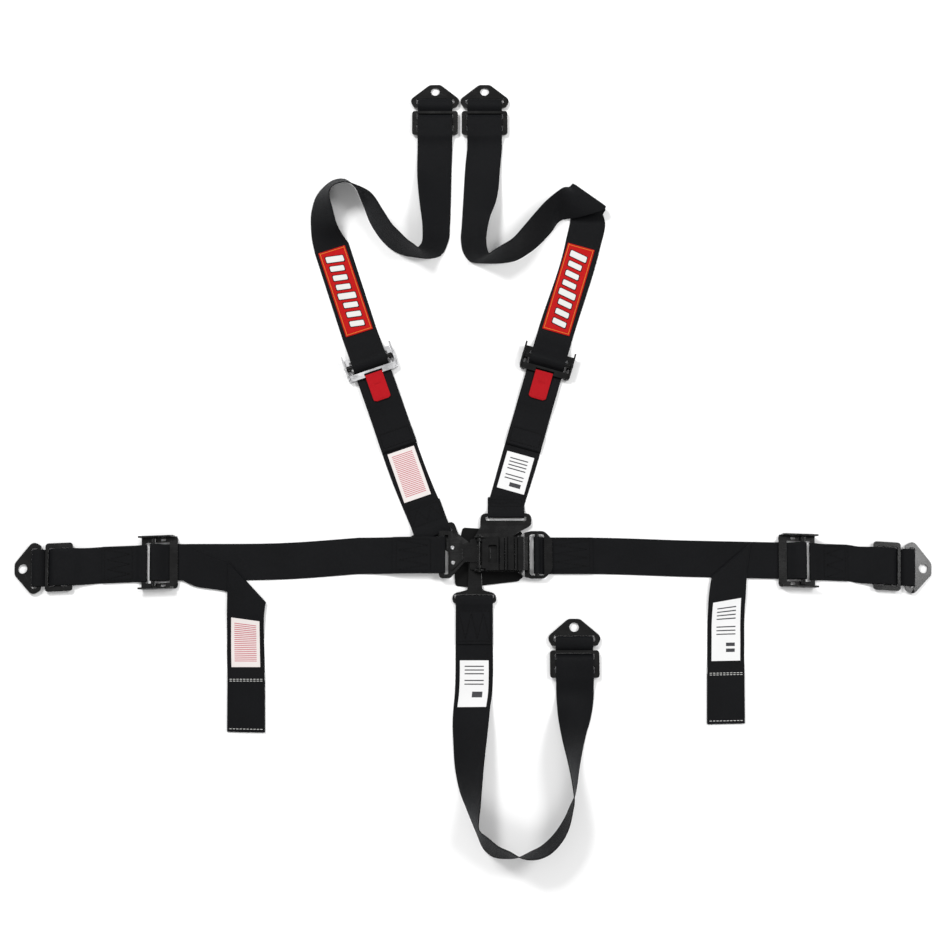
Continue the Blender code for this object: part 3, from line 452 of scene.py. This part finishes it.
def stitches(name, seams, material, body="harness", length=3.4, gauge=0.42):
    """Sewn dashes along seams. Each seam is (rows, [(along, across), ...], lift)."""
    bm = bmesh.new()
    for rows, path, lift in seams:
        for (a0, c0), (a1, c1) in zip(path, path[1:]):
            span = math.hypot(a1 - a0, c1 - c0)
            count = max(1, round(span / (length + 1.0)))
            for i in range(count):
                t0, t1 = (i + 0.12) / count, (i + 0.88) / count
                start, normal = on_band(rows, a0 + (a1 - a0) * t0, c0 + (c1 - c0) * t0, lift)
                end, _ = on_band(rows, a0 + (a1 - a0) * t1, c0 + (c1 - c0) * t1, lift)
                dash(bm, start, end, normal, gauge)
    return mesh_object(name, bm, material, body, 60)


def close_rings(bm, rings):
    """Walls between neighbouring rings of vertices, and a cap on each end."""
    for first, second in zip(rings, rings[1:]):
        for k in range(len(first)):
            bm.faces.new((first[k - 1], first[k], second[k], second[k - 1]))
    bm.faces.new(rings[0])
    bm.faces.new(rings[-1])


def dash(bm, start, end, normal, gauge):
    """One thread dash: six-sided, fat in the middle, sunk at its ends."""
    ahead = (end - start).normalized()
    side = ahead.cross(normal).normalized()
    rings = []
    for t, fat, sink in ((0.0, 0.45, -0.2), (0.25, 0.95, 0.0), (0.75, 0.95, 0.0), (1.0, 0.45, -0.2)):
        centre = start.lerp(end, t) + normal * sink
        ring = []
        for k in range(6):
            angle = math.pi * k / 3
            out = math.cos(angle) * side + math.sin(angle) * normal
            ring.append(bm.verts.new(centre + gauge * fat * out))
        rings.append(ring)
    close_rings(bm, rings)


def box_seam(a0, a1, inset=3.5):
    edge = WEB_WIDTH / 2 - inset
    return [(a0, -edge), (a0, edge), (a1, edge), (a1, -edge), (a0, -edge)]


def zigzag(a0, a1, turns, inset=5.0):
    """A W pattern inside a sewn box."""
    edge = WEB_WIDTH / 2 - inset
    points = []
    for i in range(turns + 1):
        points.append((a0 + 2 if i % 2 == 0 else a1 - 2, -edge + 2 * edge * i / turns))
    return points


# Materials


class Nodes:
    """Short names for building a material's node tree."""

    def __init__(self, name):
        self.material = bpy.data.materials.new(name)
        self.material.use_nodes = True
        self.tree = self.material.node_tree
        self.shader = self.tree.nodes["Principled BSDF"]

    def add(self, kind, **settings):
        node = self.tree.nodes.new(kind)
        for key, value in settings.items():
            setattr(node, key, value)
        return node

    def link(self, source, target):
        self.tree.links.new(source, target)

    def math(self, operation, first, second=0.0, third=0.0):
        node = self.add("ShaderNodeMath", operation=operation)
        for socket, value in zip(node.inputs, (first, second, third)):
            if hasattr(value, "is_output"):
                self.link(value, socket)
            else:
                socket.default_value = value
        return node.outputs[0]

    def place(self, attribute=None):
        """Position, or the strap's own weave coordinates."""
        if attribute:
            return self.add("ShaderNodeAttribute", attribute_name=attribute).outputs["Vector"]
        return self.add("ShaderNodeTexCoord").outputs["Object"]

    def noise(self, vector, scale, detail=3.0, roughness=0.5):
        node = self.add("ShaderNodeTexNoise")
        node.inputs["Scale"].default_value = scale
        node.inputs["Detail"].default_value = detail
        node.inputs["Roughness"].default_value = roughness
        self.link(vector, node.inputs["Vector"])
        return node.outputs["Fac"]

    def span(self, value, low, high, to_low, to_high):
        node = self.add("ShaderNodeMapRange")
        self.link(value, node.inputs["Value"])
        for key, number in zip(("From Min", "From Max", "To Min", "To Max"), (low, high, to_low, to_high)):
            node.inputs[key].default_value = number
        return node.outputs["Result"]

    def mix(self, factor, first, second):
        node = self.add("ShaderNodeMix", data_type="RGBA")
        self.link(factor, node.inputs["Factor"])
        for socket, value in zip((node.inputs[6], node.inputs[7]), (first, second)):
            if hasattr(value, "is_output"):
                self.link(value, socket)
            else:
                socket.default_value = (*value, 1.0)
        return node.outputs[2]

    def bump(self, height, strength, distance):
        node = self.add("ShaderNodeBump")
        node.inputs["Strength"].default_value = strength
        node.inputs["Distance"].default_value = distance
        self.link(height, node.inputs["Height"])
        self.link(node.outputs["Normal"], self.shader.inputs["Normal"])

    def set(self, **values):
        for key, value in values.items():
            self.shader.inputs[key.replace("_", " ")].default_value = value


def weave_height(n, pitch_across, pitch_along):
    """Rounded ribs across the band with picks that alternate from rib to rib."""
    split = n.add("ShaderNodeSeparateXYZ")
    n.link(n.place("weave"), split.inputs[0])
    rib = n.math("DIVIDE", split.outputs["X"], pitch_across)
    shift = n.math("MULTIPLY", n.math("FLOOR", rib), 0.5)
    pick = n.math("ADD", n.math("DIVIDE", split.outputs["Y"], pitch_along), shift)
    ribs = n.math("ABSOLUTE", n.math("SINE", n.math("MULTIPLY", rib, math.pi)))
    picks = n.math("ABSOLUTE", n.math("SINE", n.math("MULTIPLY", pick, math.pi)))
    return n.math("MULTIPLY", ribs, n.math("MULTIPLY_ADD", picks, 0.5, 0.5))


def cloth(name, dark, light, pitch=(0.0015, 0.0021), rough=0.62, sheen=0.25, tint=(0.75, 0.8, 0.9)):
    n = Nodes(name)
    height = weave_height(n, *pitch)
    patchy = n.noise(n.place(), 18.0)
    fine = n.noise(n.place(), 900.0, 1.0)
    tone = n.math("MULTIPLY_ADD", height, 0.55, n.math("MULTIPLY", patchy, 0.45))
    n.link(n.mix(tone, dark, light), n.shader.inputs["Base Color"])
    n.link(n.span(fine, 0.3, 0.7, rough - 0.08, rough + 0.1), n.shader.inputs["Roughness"])
    n.bump(n.math("MULTIPLY_ADD", fine, 0.12, height), 0.55, 0.0004)
    n.set(Sheen_Weight=sheen, Sheen_Roughness=0.4, Sheen_Tint=(*tint, 1.0), Specular_IOR_Level=0.09)
    return n.material


def coated_steel(name, colour, rough, metallic, coat):
    """Gloss coating over stamped steel: slight orange peel, handling scuffs and dust."""
    n = Nodes(name)
    where = n.place()
    peel = n.noise(where, 420.0, 2.0)
    scuff = n.noise(where, 55.0, 6.0, 0.7)
    streak = n.add("ShaderNodeMapping")
    streak.inputs["Scale"].default_value = (30, 900, 30)
    n.link(where, streak.inputs["Vector"])
    scratch = n.noise(streak.outputs[0], 1.0, 2.0)
    worn = tuple(min(1.0, c * 1.5 + 0.003) for c in colour)
    n.link(n.mix(n.span(scuff, 0.45, 0.75, 0.0, 0.6), colour, worn), n.shader.inputs["Base Color"])
    wear = n.math("MULTIPLY_ADD", scratch, 0.4, scuff)
    n.link(n.span(wear, 0.4, 1.0, rough - 0.06, rough + 0.14), n.shader.inputs["Roughness"])
    n.bump(n.math("MULTIPLY_ADD", scratch, 0.3, peel), 0.12, 0.0002)
    n.set(Metallic=metallic, Coat_Weight=coat, Coat_Roughness=0.12, Specular_IOR_Level=0.3)
    return n.material


def mask_of(n, split, boxes):
    """1 inside any of the boxes (centre across, centre along, half across, half along), in metres."""
    total = None
    for across, along, half_across, half_along in boxes:
        dx = n.math("ABSOLUTE", n.math("SUBTRACT", split.outputs["X"], across))
        dy = n.math("ABSOLUTE", n.math("SUBTRACT", split.outputs["Y"], along))
        inside = n.math("MULTIPLY", n.math("LESS_THAN", dx, half_across), n.math("LESS_THAN", dy, half_along))
        total = inside if total is None else n.math("MAXIMUM", total, inside)
    return total


def printed(name, ground, prints):
    """Woven label: a light ground with generic printed bars. prints is [(colour, boxes), ...]."""
    n = Nodes(name)
    split = n.add("ShaderNodeSeparateXYZ")
    n.link(n.place("weave"), split.inputs[0])
    fine = n.noise(n.place(), 1400.0, 1.0)
    patchy = n.noise(n.place(), 40.0)
    shade = tuple(c * 0.88 for c in ground)
    colour = n.mix(n.math("MULTIPLY_ADD", patchy, 0.6, n.math("MULTIPLY", fine, 0.3)), ground, shade)
    for ink, boxes in prints:
        colour = n.mix(mask_of(n, split, boxes), colour, ink)
    n.link(colour, n.shader.inputs["Base Color"])
    n.bump(n.math("ADD", weave_height(n, 0.0006, 0.0006), fine), 0.3, 0.0001)
    n.link(n.span(fine, 0.3, 0.7, 0.5, 0.7), n.shader.inputs["Roughness"])
    n.set(Sheen_Weight=0.1)
    return n.material


THREAD_PITCH = (0.0004, 0.0004)
EMBROIDERY_PITCH = (0.0007, 0.0035)
WEBBING = cloth("webbing_black", (0.001, 0.001, 0.0012), (0.0062, 0.0066, 0.0078), sheen=0.035)
THREAD_BLACK = cloth("thread_black", (0.001, 0.001, 0.001), (0.006, 0.006, 0.006), THREAD_PITCH, sheen=0.0)
THREAD_WHITE = cloth("thread_white", (0.6, 0.6, 0.58), (0.8, 0.8, 0.78), THREAD_PITCH)
THREAD_GOLD = cloth("thread_gold", (0.75, 0.22, 0.02), (0.9, 0.4, 0.05), (0.0005, 0.0005))
RED_CLOTH = cloth("red_cloth", (0.24, 0.003, 0.006), (0.5, 0.006, 0.012), (0.0009, 0.0012), sheen=0.05)
RED_STITCHED = cloth(
    "red_embroidery", (0.3, 0.003, 0.004), (0.56, 0.008, 0.008), EMBROIDERY_PITCH, sheen=0.05,
)
FELT = cloth("pad_felt", (0.002, 0.002, 0.002), (0.008, 0.008, 0.008), (0.0011, 0.0011), 0.8, 0.08)
BLACK_STEEL = coated_steel("black_coated_steel", (0.0015, 0.0015, 0.0016), 0.22, 0.0, 0.12)
# Shiny metal. On the rivets it is their own plating. On the left shoulder adjuster frame it is a painted
# reflection: that frame is black coated steel like the others and is drawn bright to stand for the
# reflections on it.
PLATED_AND_REFLECTION_STEEL = coated_steel("zinc_plated_and_painted_reflection_steel", (0.55, 0.55, 0.56), 0.24, 1.0, 0.0)


# Stage: distances in metres, light powers in watts

FLOOR_HALF = 6.0
FLOOR_Z = -0.0002
WORLD_STRENGTH = 0.42
CAMERA_LENS = 56.84
CAMERA_SENSOR = 36.0
CAMERA_SPOT = (0.003, -0.4680, 2.0443)
CAMERA_TILT = 12
# Name, place, aim, side and power of each soft lamp.
LIGHTS = (
    ("key", (-1.3, 1.6, 2.4), (0, 0, 0), 0.8, 62.0),
    ("fill", (1.8, 0.6, 2.2), (0, 0, 0), 0.9, 36.0),
    ("front", (0.2, -2.2, 1.8), (0, 0, 0), 0.9, 20.0),
)


def add_floor():
    mesh = bpy.data.meshes.new("floor")
    corners = [(-1, -1), (1, -1), (1, 1), (-1, 1)]
    mesh.from_pydata([(x * FLOOR_HALF, y * FLOOR_HALF, FLOOR_Z) for x, y in corners], [], [(0, 1, 2, 3)])
    n = Nodes("floor_white")
    white = n.mix(n.noise(n.place(), 3.0), (0.93, 0.93, 0.93), (0.95, 0.95, 0.95))
    n.link(white, n.shader.inputs["Base Color"])
    n.set(Roughness=0.9, Specular_IOR_Level=0.0)
    mesh.materials.append(n.material)
    floor = bpy.data.objects.new("floor", mesh)
    bpy.context.scene.collection.objects.link(floor)


def add_light():
    world = bpy.data.worlds.new("studio")
    world.use_nodes = True
    background = world.node_tree.nodes["Background"]
    background.inputs["Color"].default_value = (1, 1, 1, 1)
    background.inputs["Strength"].default_value = WORLD_STRENGTH
    bpy.context.scene.world = world
    for name, spot, aim, size, power in LIGHTS:
        light = bpy.data.lights.new(name, "AREA")
        light.energy = power
        light.size = size
        lamp = bpy.data.objects.new(name, light)
        lamp.location = spot
        lamp.rotation_euler = (Vector(aim) - Vector(spot)).to_track_quat("-Z", "Y").to_euler()
        bpy.context.scene.collection.objects.link(lamp)


def add_camera():
    camera = bpy.data.cameras.new("camera")
    camera.lens = CAMERA_LENS
    camera.sensor_width = CAMERA_SENSOR
    obj = bpy.data.objects.new("camera", camera)
    obj.location = CAMERA_SPOT
    obj.rotation_euler = (math.radians(CAMERA_TILT), 0, 0)
    bpy.context.scene.collection.objects.link(obj)
    bpy.context.scene.camera = obj
    bpy.context.scene.view_settings.view_transform = "Standard"


# Straps


WEB_RIPPLE = 0.12
# How far stitching stands above the middle of the strap it is sewn to.
STITCH_LIFT = 0.85
SIDES = ("left", "right")
ROUTES = {
    "shoulder_web": shoulder_web,
    "lower_web": lower_web,
    "lap_web": lap_web,
    "lap_anchor_web": lap_anchor_web,
}
WEBS = {f"{kind}_{side}": route(side) for kind, route in ROUTES.items() for side in SIDES}
WEBS["sub_web"] = sub_web()
# Sewn box sections: frame, ends as (u, z), zigzag turns.
SEWN = (
    (local_frame(-56, -115, 109.8), [(13, SECOND), (41, SECOND)], 4),
    (local_frame(46, -91.5, 90), [(11, SECOND), (25, SECOND)], 3),
    (local_frame(2, -209, -90), [(13, SECOND), (58, SECOND)], 5),
    (local_frame(88, LATCH_Y - 0.5, 180), [(-75, SECOND), (-19, SECOND)], 7),
    (local_frame(*LAP_ADJUSTERS["left"]), [(-78, SECOND), (-36, SECOND)], 6),
    (local_frame(*LAP_ADJUSTERS["right"]), [(-69, SECOND), (-36, SECOND)], 5),
)
LINK_SEWN = [(-66, 7.2), (-56, 8.6), (-43, 9.5), (-20, 9.8), (-12, 10.2)]
# The seam round a shoulder strap's hemmed end: points as (along, across).
HEM_SEAM = [(3, -21), (3, 21), (23, 21), (23, -21), (3, -21)]


def add_webs():
    for node, stations in WEBS.items():
        rows = band_rows(stations)
        obj = mesh_object("woven_" + node, band(rows, WEB_WIDTH, WEB_THICK, WEB_RIPPLE), WEBBING)
        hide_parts(node)
        # Where the curve between two route points dips, the strap lies on the floor.
        for vert in obj.data.vertices:
            vert.co.z = max(vert.co.z, 0.0)


def flat_rows(points, frame):
    """Band rows of a strap's straight stretch, for stitching."""
    return band_rows(lane(points, frame), 3.0)


def up_side(rows):
    """Stitch rows whose normal points up."""
    return [(a, b, -n if n.z < 0 else n, s) for a, b, n, s in rows]


def add_stitches():
    seams = []
    for place, points, turns in SEWN:
        rows = up_side(flat_rows(points, place))
        length = rows[-1][3]
        seams.append((rows, box_seam(2, length - 2), STITCH_LIFT))
        seams.append((rows, zigzag(3, length - 3, turns), STITCH_LIFT))
    rows = up_side(flat_rows(LINK_SEWN, local_frame(-42, LATCH_Y - 0.5, 0)))
    seams.append((rows, box_seam(3, 50), STITCH_LIFT))
    seams.append((rows, zigzag(4, 49, 6), STITCH_LIFT))
    for side in SIDES:
        place = local_frame(*SHOULDER_ADJUSTERS[side])
        rows = up_side(flat_rows([(100, THIRD), (127, THIRD)], place))
        seams.append((rows, HEM_SEAM, STITCH_LIFT))
    obj = stitches("sewn_boxes", seams, THREAD_BLACK)
    for side, tail in (("left", LAP_LEFT_TAIL), ("right", LAP_RIGHT_TAIL)):
        rows = up_side(band_rows(pairs(tail)[-2:], 3.0))
        length = rows[-1][3]
        lines = [[(2.5, -23), (2.5, 23)], [(length - 2.5, 23), (length - 2.5, -23)], [(5, -23), (5, 23)]]
        obj = stitches("tail_stitches_" + side, [(rows, line, STITCH_LIFT) for line in lines], THREAD_WHITE)


# Patches, labels and tabs


# Ends of each patch's middle line: x, y, x, y.
PATCHES = {"left": (-203.2, 297.6, -161.1, 172.3), "right": (156, 302, 117.7, 173.3)}
PATCH_WIDTH = 40
PATCH_THICK = 1.0
PATCH_LIFT = WEB_THICK / 2 + 0.75
PATCH_TOP = LAY + WEB_THICK / 2 + 1.3
BORDER_PITCH = 0.95
BORDER_EDGES = (17.4, 18.3)
BORDER_ENDS = (1.8, 2.7)
BORDER_SLANT = 0.25
BLOCK_SKEW = 0.18
BLOCK_RISE = 0.35
BLOCK_EDGE = 1.1
# Plain slanted bars down the patch: middle as a share of its length, half length, middle across, half width.
BLOCKS = (
    (0.12, 4.6, 0.0, 12.5), (0.23, 4.0, -1.0, 10.0), (0.34, 4.0, -1.0, 10.0), (0.45, 4.0, -1.0, 10.0),
    (0.56, 4.6, 0.0, 12.5), (0.67, 4.0, 1.0, 10.0), (0.78, 4.0, 1.0, 10.0), (0.89, 4.0, 1.0, 10.0),
)
LABEL_WIDTH = 39
LABEL_THICK = 0.5
LABEL_LIFT = WEB_THICK / 2 + 0.5


def narrow(stations, width, lift):
    """Band rows for a strip of another width that lies on the strap's upper face."""
    up = section_normals(stations)[0].z > 0
    return band_rows(on_strap(stations, width / 2, lift, not up), 3.0)


def raised_block(bm, place, u, v, half_u, half_v, lift):
    """A stitched block: slanted, with a domed top."""
    rings = []
    for inset, z in ((0.0, PATCH_TOP - 0.2), (0.0, PATCH_TOP + 0.1 + lift), (0.6, PATCH_TOP + 0.3 + lift)):
        corners = [(-half_u + inset, -half_v + inset), (half_u - inset, -half_v + inset)]
        corners += [(half_u - inset, half_v - inset), (-half_u + inset, half_v - inset)]
        outline = rounded([(u + a + BLOCK_SKEW * b, v + b) for a, b in corners], 1.6, 3)
        rings.append([bm.verts.new(place @ Vector((a, b, z))) for a, b in outline])
    close_rings(bm, rings)


def add_patch(side, x0, y0, x1, y1):
    heading = math.degrees(math.atan2(y1 - y0, x1 - x0))
    length = math.hypot(x1 - x0, y1 - y0)
    stations = at(x0, y0, heading) + at(x1, y1, heading)
    rows = up_side(narrow(stations, PATCH_WIDTH, PATCH_LIFT))
    cloth_piece = mesh_object("patch_cloth_" + side, band(rows, PATCH_WIDTH, PATCH_THICK), RED_STITCHED)
    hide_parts("patch_" + side)
    border = bmesh.new()
    inner, outer = BORDER_EDGES
    for k in range(int((length - 2) / BORDER_PITCH)):
        for edge in (-1, 1):
            spot = 1.0 + k * BORDER_PITCH
            start, up = on_band(rows, spot, edge * inner, 0.6, PATCH_WIDTH)
            end, _ = on_band(rows, spot + BORDER_SLANT, edge * outer, 0.6, PATCH_WIDTH)
            dash(border, start, end, up, 0.5)
    near, far = BORDER_ENDS
    for k in range(int(35.5 / BORDER_PITCH)):
        for a0, a1 in ((near, far), (length - far, length - near)):
            across = -17.6 + k * BORDER_PITCH
            start, up = on_band(rows, a0, across, 0.5, PATCH_WIDTH)
            end, _ = on_band(rows, a1, across + BORDER_SLANT, 0.5, PATCH_WIDTH)
            dash(border, start, end, up, 0.5)
    obj = mesh_object("patch_border_" + side, border, THREAD_GOLD, smooth_angle=60)
    blocks, edges = bmesh.new(), bmesh.new()
    place = local_frame(x0, y0, heading)
    for u, half_u, v, half_v in BLOCKS:
        raised_block(blocks, place, length * u, v, half_u, half_v, BLOCK_RISE)
        raised_block(edges, place, length * u, v, half_u + BLOCK_EDGE, half_v + BLOCK_EDGE, 0.0)
    obj = mesh_object("patch_blocks_" + side, blocks, THREAD_WHITE, smooth_angle=50)
    obj = mesh_object("patch_block_edges_" + side, edges, THREAD_BLACK, smooth_angle=50)


def lines_at(places, half_across, half_along, across=0.0):
    """Printed lines at these distances along a label."""
    return [(across * MM, p * MM, half_across * MM, half_along * MM) for p in places]


PINK = (0.46, 0.09, 0.12)
INK = (0.02, 0.02, 0.025)
WHITE_CLOTH = (0.76, 0.76, 0.76)
CREAM_CLOTH = (0.72, 0.67, 0.65)
# Each label's ground colour and its plain printed lines, which stand for no text.
LABEL_PRINTS = {
    "shoulder_left": (CREAM_CLOTH, [(PINK, lines_at([6 + 2.6 * k for k in range(24)], 15, 0.55))]),
    "shoulder_right": (WHITE_CLOTH, [
        (INK, lines_at((8, 13, 18, 23, 32, 37), 13, 0.8) + lines_at((45,), 8, 3.0, 4)),
    ]),
    "lap_left": (CREAM_CLOTH, [(PINK, lines_at([7 + 2.6 * k for k in range(20)], 15, 0.55))]),
    "lap_right": (WHITE_CLOTH, [
        (INK, lines_at((10, 15, 20, 25, 36, 41, 46), 13, 0.8) + lines_at((60, 68), 6, 2.4, -6)),
    ]),
    "sub": (WHITE_CLOTH, [(INK, lines_at((8, 13, 18, 27, 32), 13, 0.8) + lines_at((46,), 7, 4.0, 5))]),
}
LABEL_ROUTES = {
    "shoulder_left": lane([(132, LOW), (205, LOW)], local_frame(*SHOULDER_ADJUSTERS["left"])),
    "shoulder_right": lane([(138, LOW), (192, LOW)], local_frame(*SHOULDER_ADJUSTERS["right"])),
    "lap_left": swap(pairs(((-335.3, -232, 3.9, -284.4, -239, 3.8),)) + pairs(LAP_LEFT_TAIL)[7:11]),
    "lap_right": pairs(LAP_RIGHT_TAIL)[4:9],
    "sub": lane([(82, LOW), (100, LOW)], local_frame(2, -209, -90)) + pairs(SUB_RUN[:2]),
}


def add_labels():
    for place, (ground, prints) in LABEL_PRINTS.items():
        rows = narrow(LABEL_ROUTES[place], LABEL_WIDTH, LABEL_LIFT)
        material = printed("label_print_" + place, ground, prints)
        obj = mesh_object("label_cloth_" + place, band(rows, LABEL_WIDTH, LABEL_THICK), material)
        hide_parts("label_" + place)


TAB_ROD_U = 16.8
TAB_EYE = 1.75
TAB_THICK = 0.9
TAB_CORNER = 4.0
TAB_STITCH_LIFT = 0.5
# Stitched lines across a tab: distance from its free end, half length.
TAB_SEAMS = ((2.0, 8.5), (24, 11), (25.6, 11))


def add_tab(side):
    """A doubled red loop round the frame's rod, with rounded outer corners."""
    u, z = TAB_ROD_U, SHOULDER_LIP_Z + 1.1
    path = [(u + TAB_LENGTH - 3.2, z - 0.3), (u + 30, z - 0.3), (u + 14, z - 0.1), (u + 6, z + 0.7)]
    path += arc(u, z, TAB_EYE, 60, 250, 8)
    path += [(u + 4, z - 1.65), (u + 12, z - 1.6), (u + 30, z - 1.6), (u + TAB_LENGTH - 3.2, z - 1.6)]
    place = local_frame(*SHOULDER_ADJUSTERS[side])
    half_width = TAB_WIDTH / 2
    stations = [(place @ Vector((a, half_width, b)), place @ Vector((a, -half_width, b))) for a, b in path]
    rows = []
    for left, right, normal, along in band_rows(stations, 1.6):
        reach = (place.inverted() @ ((left + right) / 2)).x - u - (TAB_LENGTH - 7.2)
        half = half_width
        if reach > 0:
            half -= TAB_CORNER - math.sqrt(max(TAB_CORNER**2 - reach * reach, 0.0))
        middle = (left + right) / 2
        across = (left - right).normalized() * half
        rows.append((middle + across, middle - across, normal, along))
    body = "release_tab_" + side
    obj = mesh_object("pull_tab_" + side, band(rows, TAB_WIDTH, TAB_THICK), RED_CLOTH, body)
    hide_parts(body)
    top = up_side(band_rows(stations[:4], 3.0))
    seams = [(top, [(a, -reach), (a, reach)], TAB_STITCH_LIFT) for a, reach in TAB_SEAMS]
    sewn = stitches("tab_stitches_" + side, seams, RED_CLOTH, body, 2.0, 0.3)


PAD_CORNERS = (
    (-14, -108), (66, -113), (72, -122), (70, -176), (62, -183), (-7, -191), (-24, -189), (-26, -160),
)
PAD_RADII = (4, 5, 6, 6, 4, 4, 4, 8)
PAD_CENTRE = (23, -149)
# The pad's edge in section: share of the outline's size, height. The dip is the sewn line.
PAD_SECTION = (
    (0.94, 0.1), (0.99, 0.35), (1.0, 0.9), (1.0, 1.3), (0.985, 1.75), (0.95, 1.95), (0.9, 1.75), (0.86, 1.95),
)


def add_pad():
    outline = rounded(PAD_CORNERS, PAD_RADII, 5)
    centre = Vector(PAD_CENTRE)
    bm = bmesh.new()
    rings = []
    for share, z in PAD_SECTION:
        rings.append([bm.verts.new((*(centre + (Vector(p) - centre) * share), z)) for p in outline])
    close_rings(bm, rings)
    weave = bm.verts.layers.float_vector.new("weave")
    for vert in bm.verts:
        vert[weave] = (vert.co.x * MM, vert.co.y * MM, 0)
    obj = mesh_object("felt_pad", bm, FELT)
    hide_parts("latch_pad")


# Hardware

BAR_RADIUS = 3.2
BAR_HALF = 33.4
KNURL_DEPTH = 0.35
KNURL_TEETH = 22
TENON_RADIUS = 1.7
TENON_ENDS = ((-37.1, 0.8), (-36.7, 1), (36.7, 1), (37.1, 0.8))
SHOULDER_BAR_AT = (-2, 9.0)
LAP_BAR_AT = (-8, 7.6)
WELD_REACH = 0.00001
EDGE_ROUNDING = 0.00035
EDGE_ANGLE = 40


def star(radius, depth, teeth):
    """The knurled section: an outline of equal teeth."""
    points = []
    for k in range(teeth * 2):
        angle = math.pi * k / teeth
        reach = radius if k % 2 == 0 else radius - depth
        points.append((reach * math.cos(angle), reach * math.sin(angle)))
    return points


def prism(bm, place, outline, u, z, v_list):
    """Rings of an outline across the strap, each (v, share of size)."""
    rings = []
    for v, share in v_list:
        rings.append([bm.verts.new(place @ Vector((u + a * share, v, z + b * share))) for a, b in outline])
    close_rings(bm, rings)


def add_knurled_bar(name, spot, u, z):
    place = local_frame(*spot)
    bm = bmesh.new()
    full = BAR_HALF - 0.6
    ends = ((-BAR_HALF, 0.85), (-full, 1), (full, 1), (BAR_HALF, 0.85))
    prism(bm, place, star(BAR_RADIUS, KNURL_DEPTH, KNURL_TEETH), u, z, ends)
    prism(bm, place, arc(0, 0, TENON_RADIUS, 0, 345, 23), u, z, TENON_ENDS)
    obj = mesh_object("knurled_" + name, bm, BLACK_STEEL, name, 30)
    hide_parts(name)


def dress_hardware():
    soft = ("web", "label_", "patch_", "release_tab", "latch_pad", "adjuster_bar")
    # The left shoulder adjuster frame takes the shiny metal as a painted reflection, though it is black
    # coated steel like the other frames; the rivets take it for their plating.
    bright = ("link_rivet", "adjuster_frame_shoulder_left")
    for name, node in frame["nodes"].items():
        if any(word in name for word in soft):
            continue
        node.data.materials.clear()
        node.data.materials.append(PLATED_AND_REFLECTION_STEEL if name.startswith(bright) else BLACK_STEEL)
        weld = node.modifiers.new("weld", "WELD")
        weld.merge_threshold = WELD_REACH
        if name == "latch_spring":
            continue
        bevel = node.modifiers.new("soft_edges", "BEVEL")
        bevel.width = EDGE_ROUNDING
        bevel.segments = 2
        bevel.limit_method = "ANGLE"
        bevel.angle_limit = math.radians(EDGE_ANGLE)
        bevel.use_clamp_overlap = True


add_floor()
add_light()
add_camera()
for which, spots in PATCHES.items():
    add_patch(which, *spots)
add_labels()
add_stitches()
add_webs()
for which in SIDES:
    add_tab(which)
    add_knurled_bar("adjuster_bar_shoulder_" + which, SHOULDER_ADJUSTERS[which], *SHOULDER_BAR_AT)
    add_knurled_bar("adjuster_bar_lap_" + which, LAP_ADJUSTERS[which], *LAP_BAR_AT)
add_pad()
dress_hardware()
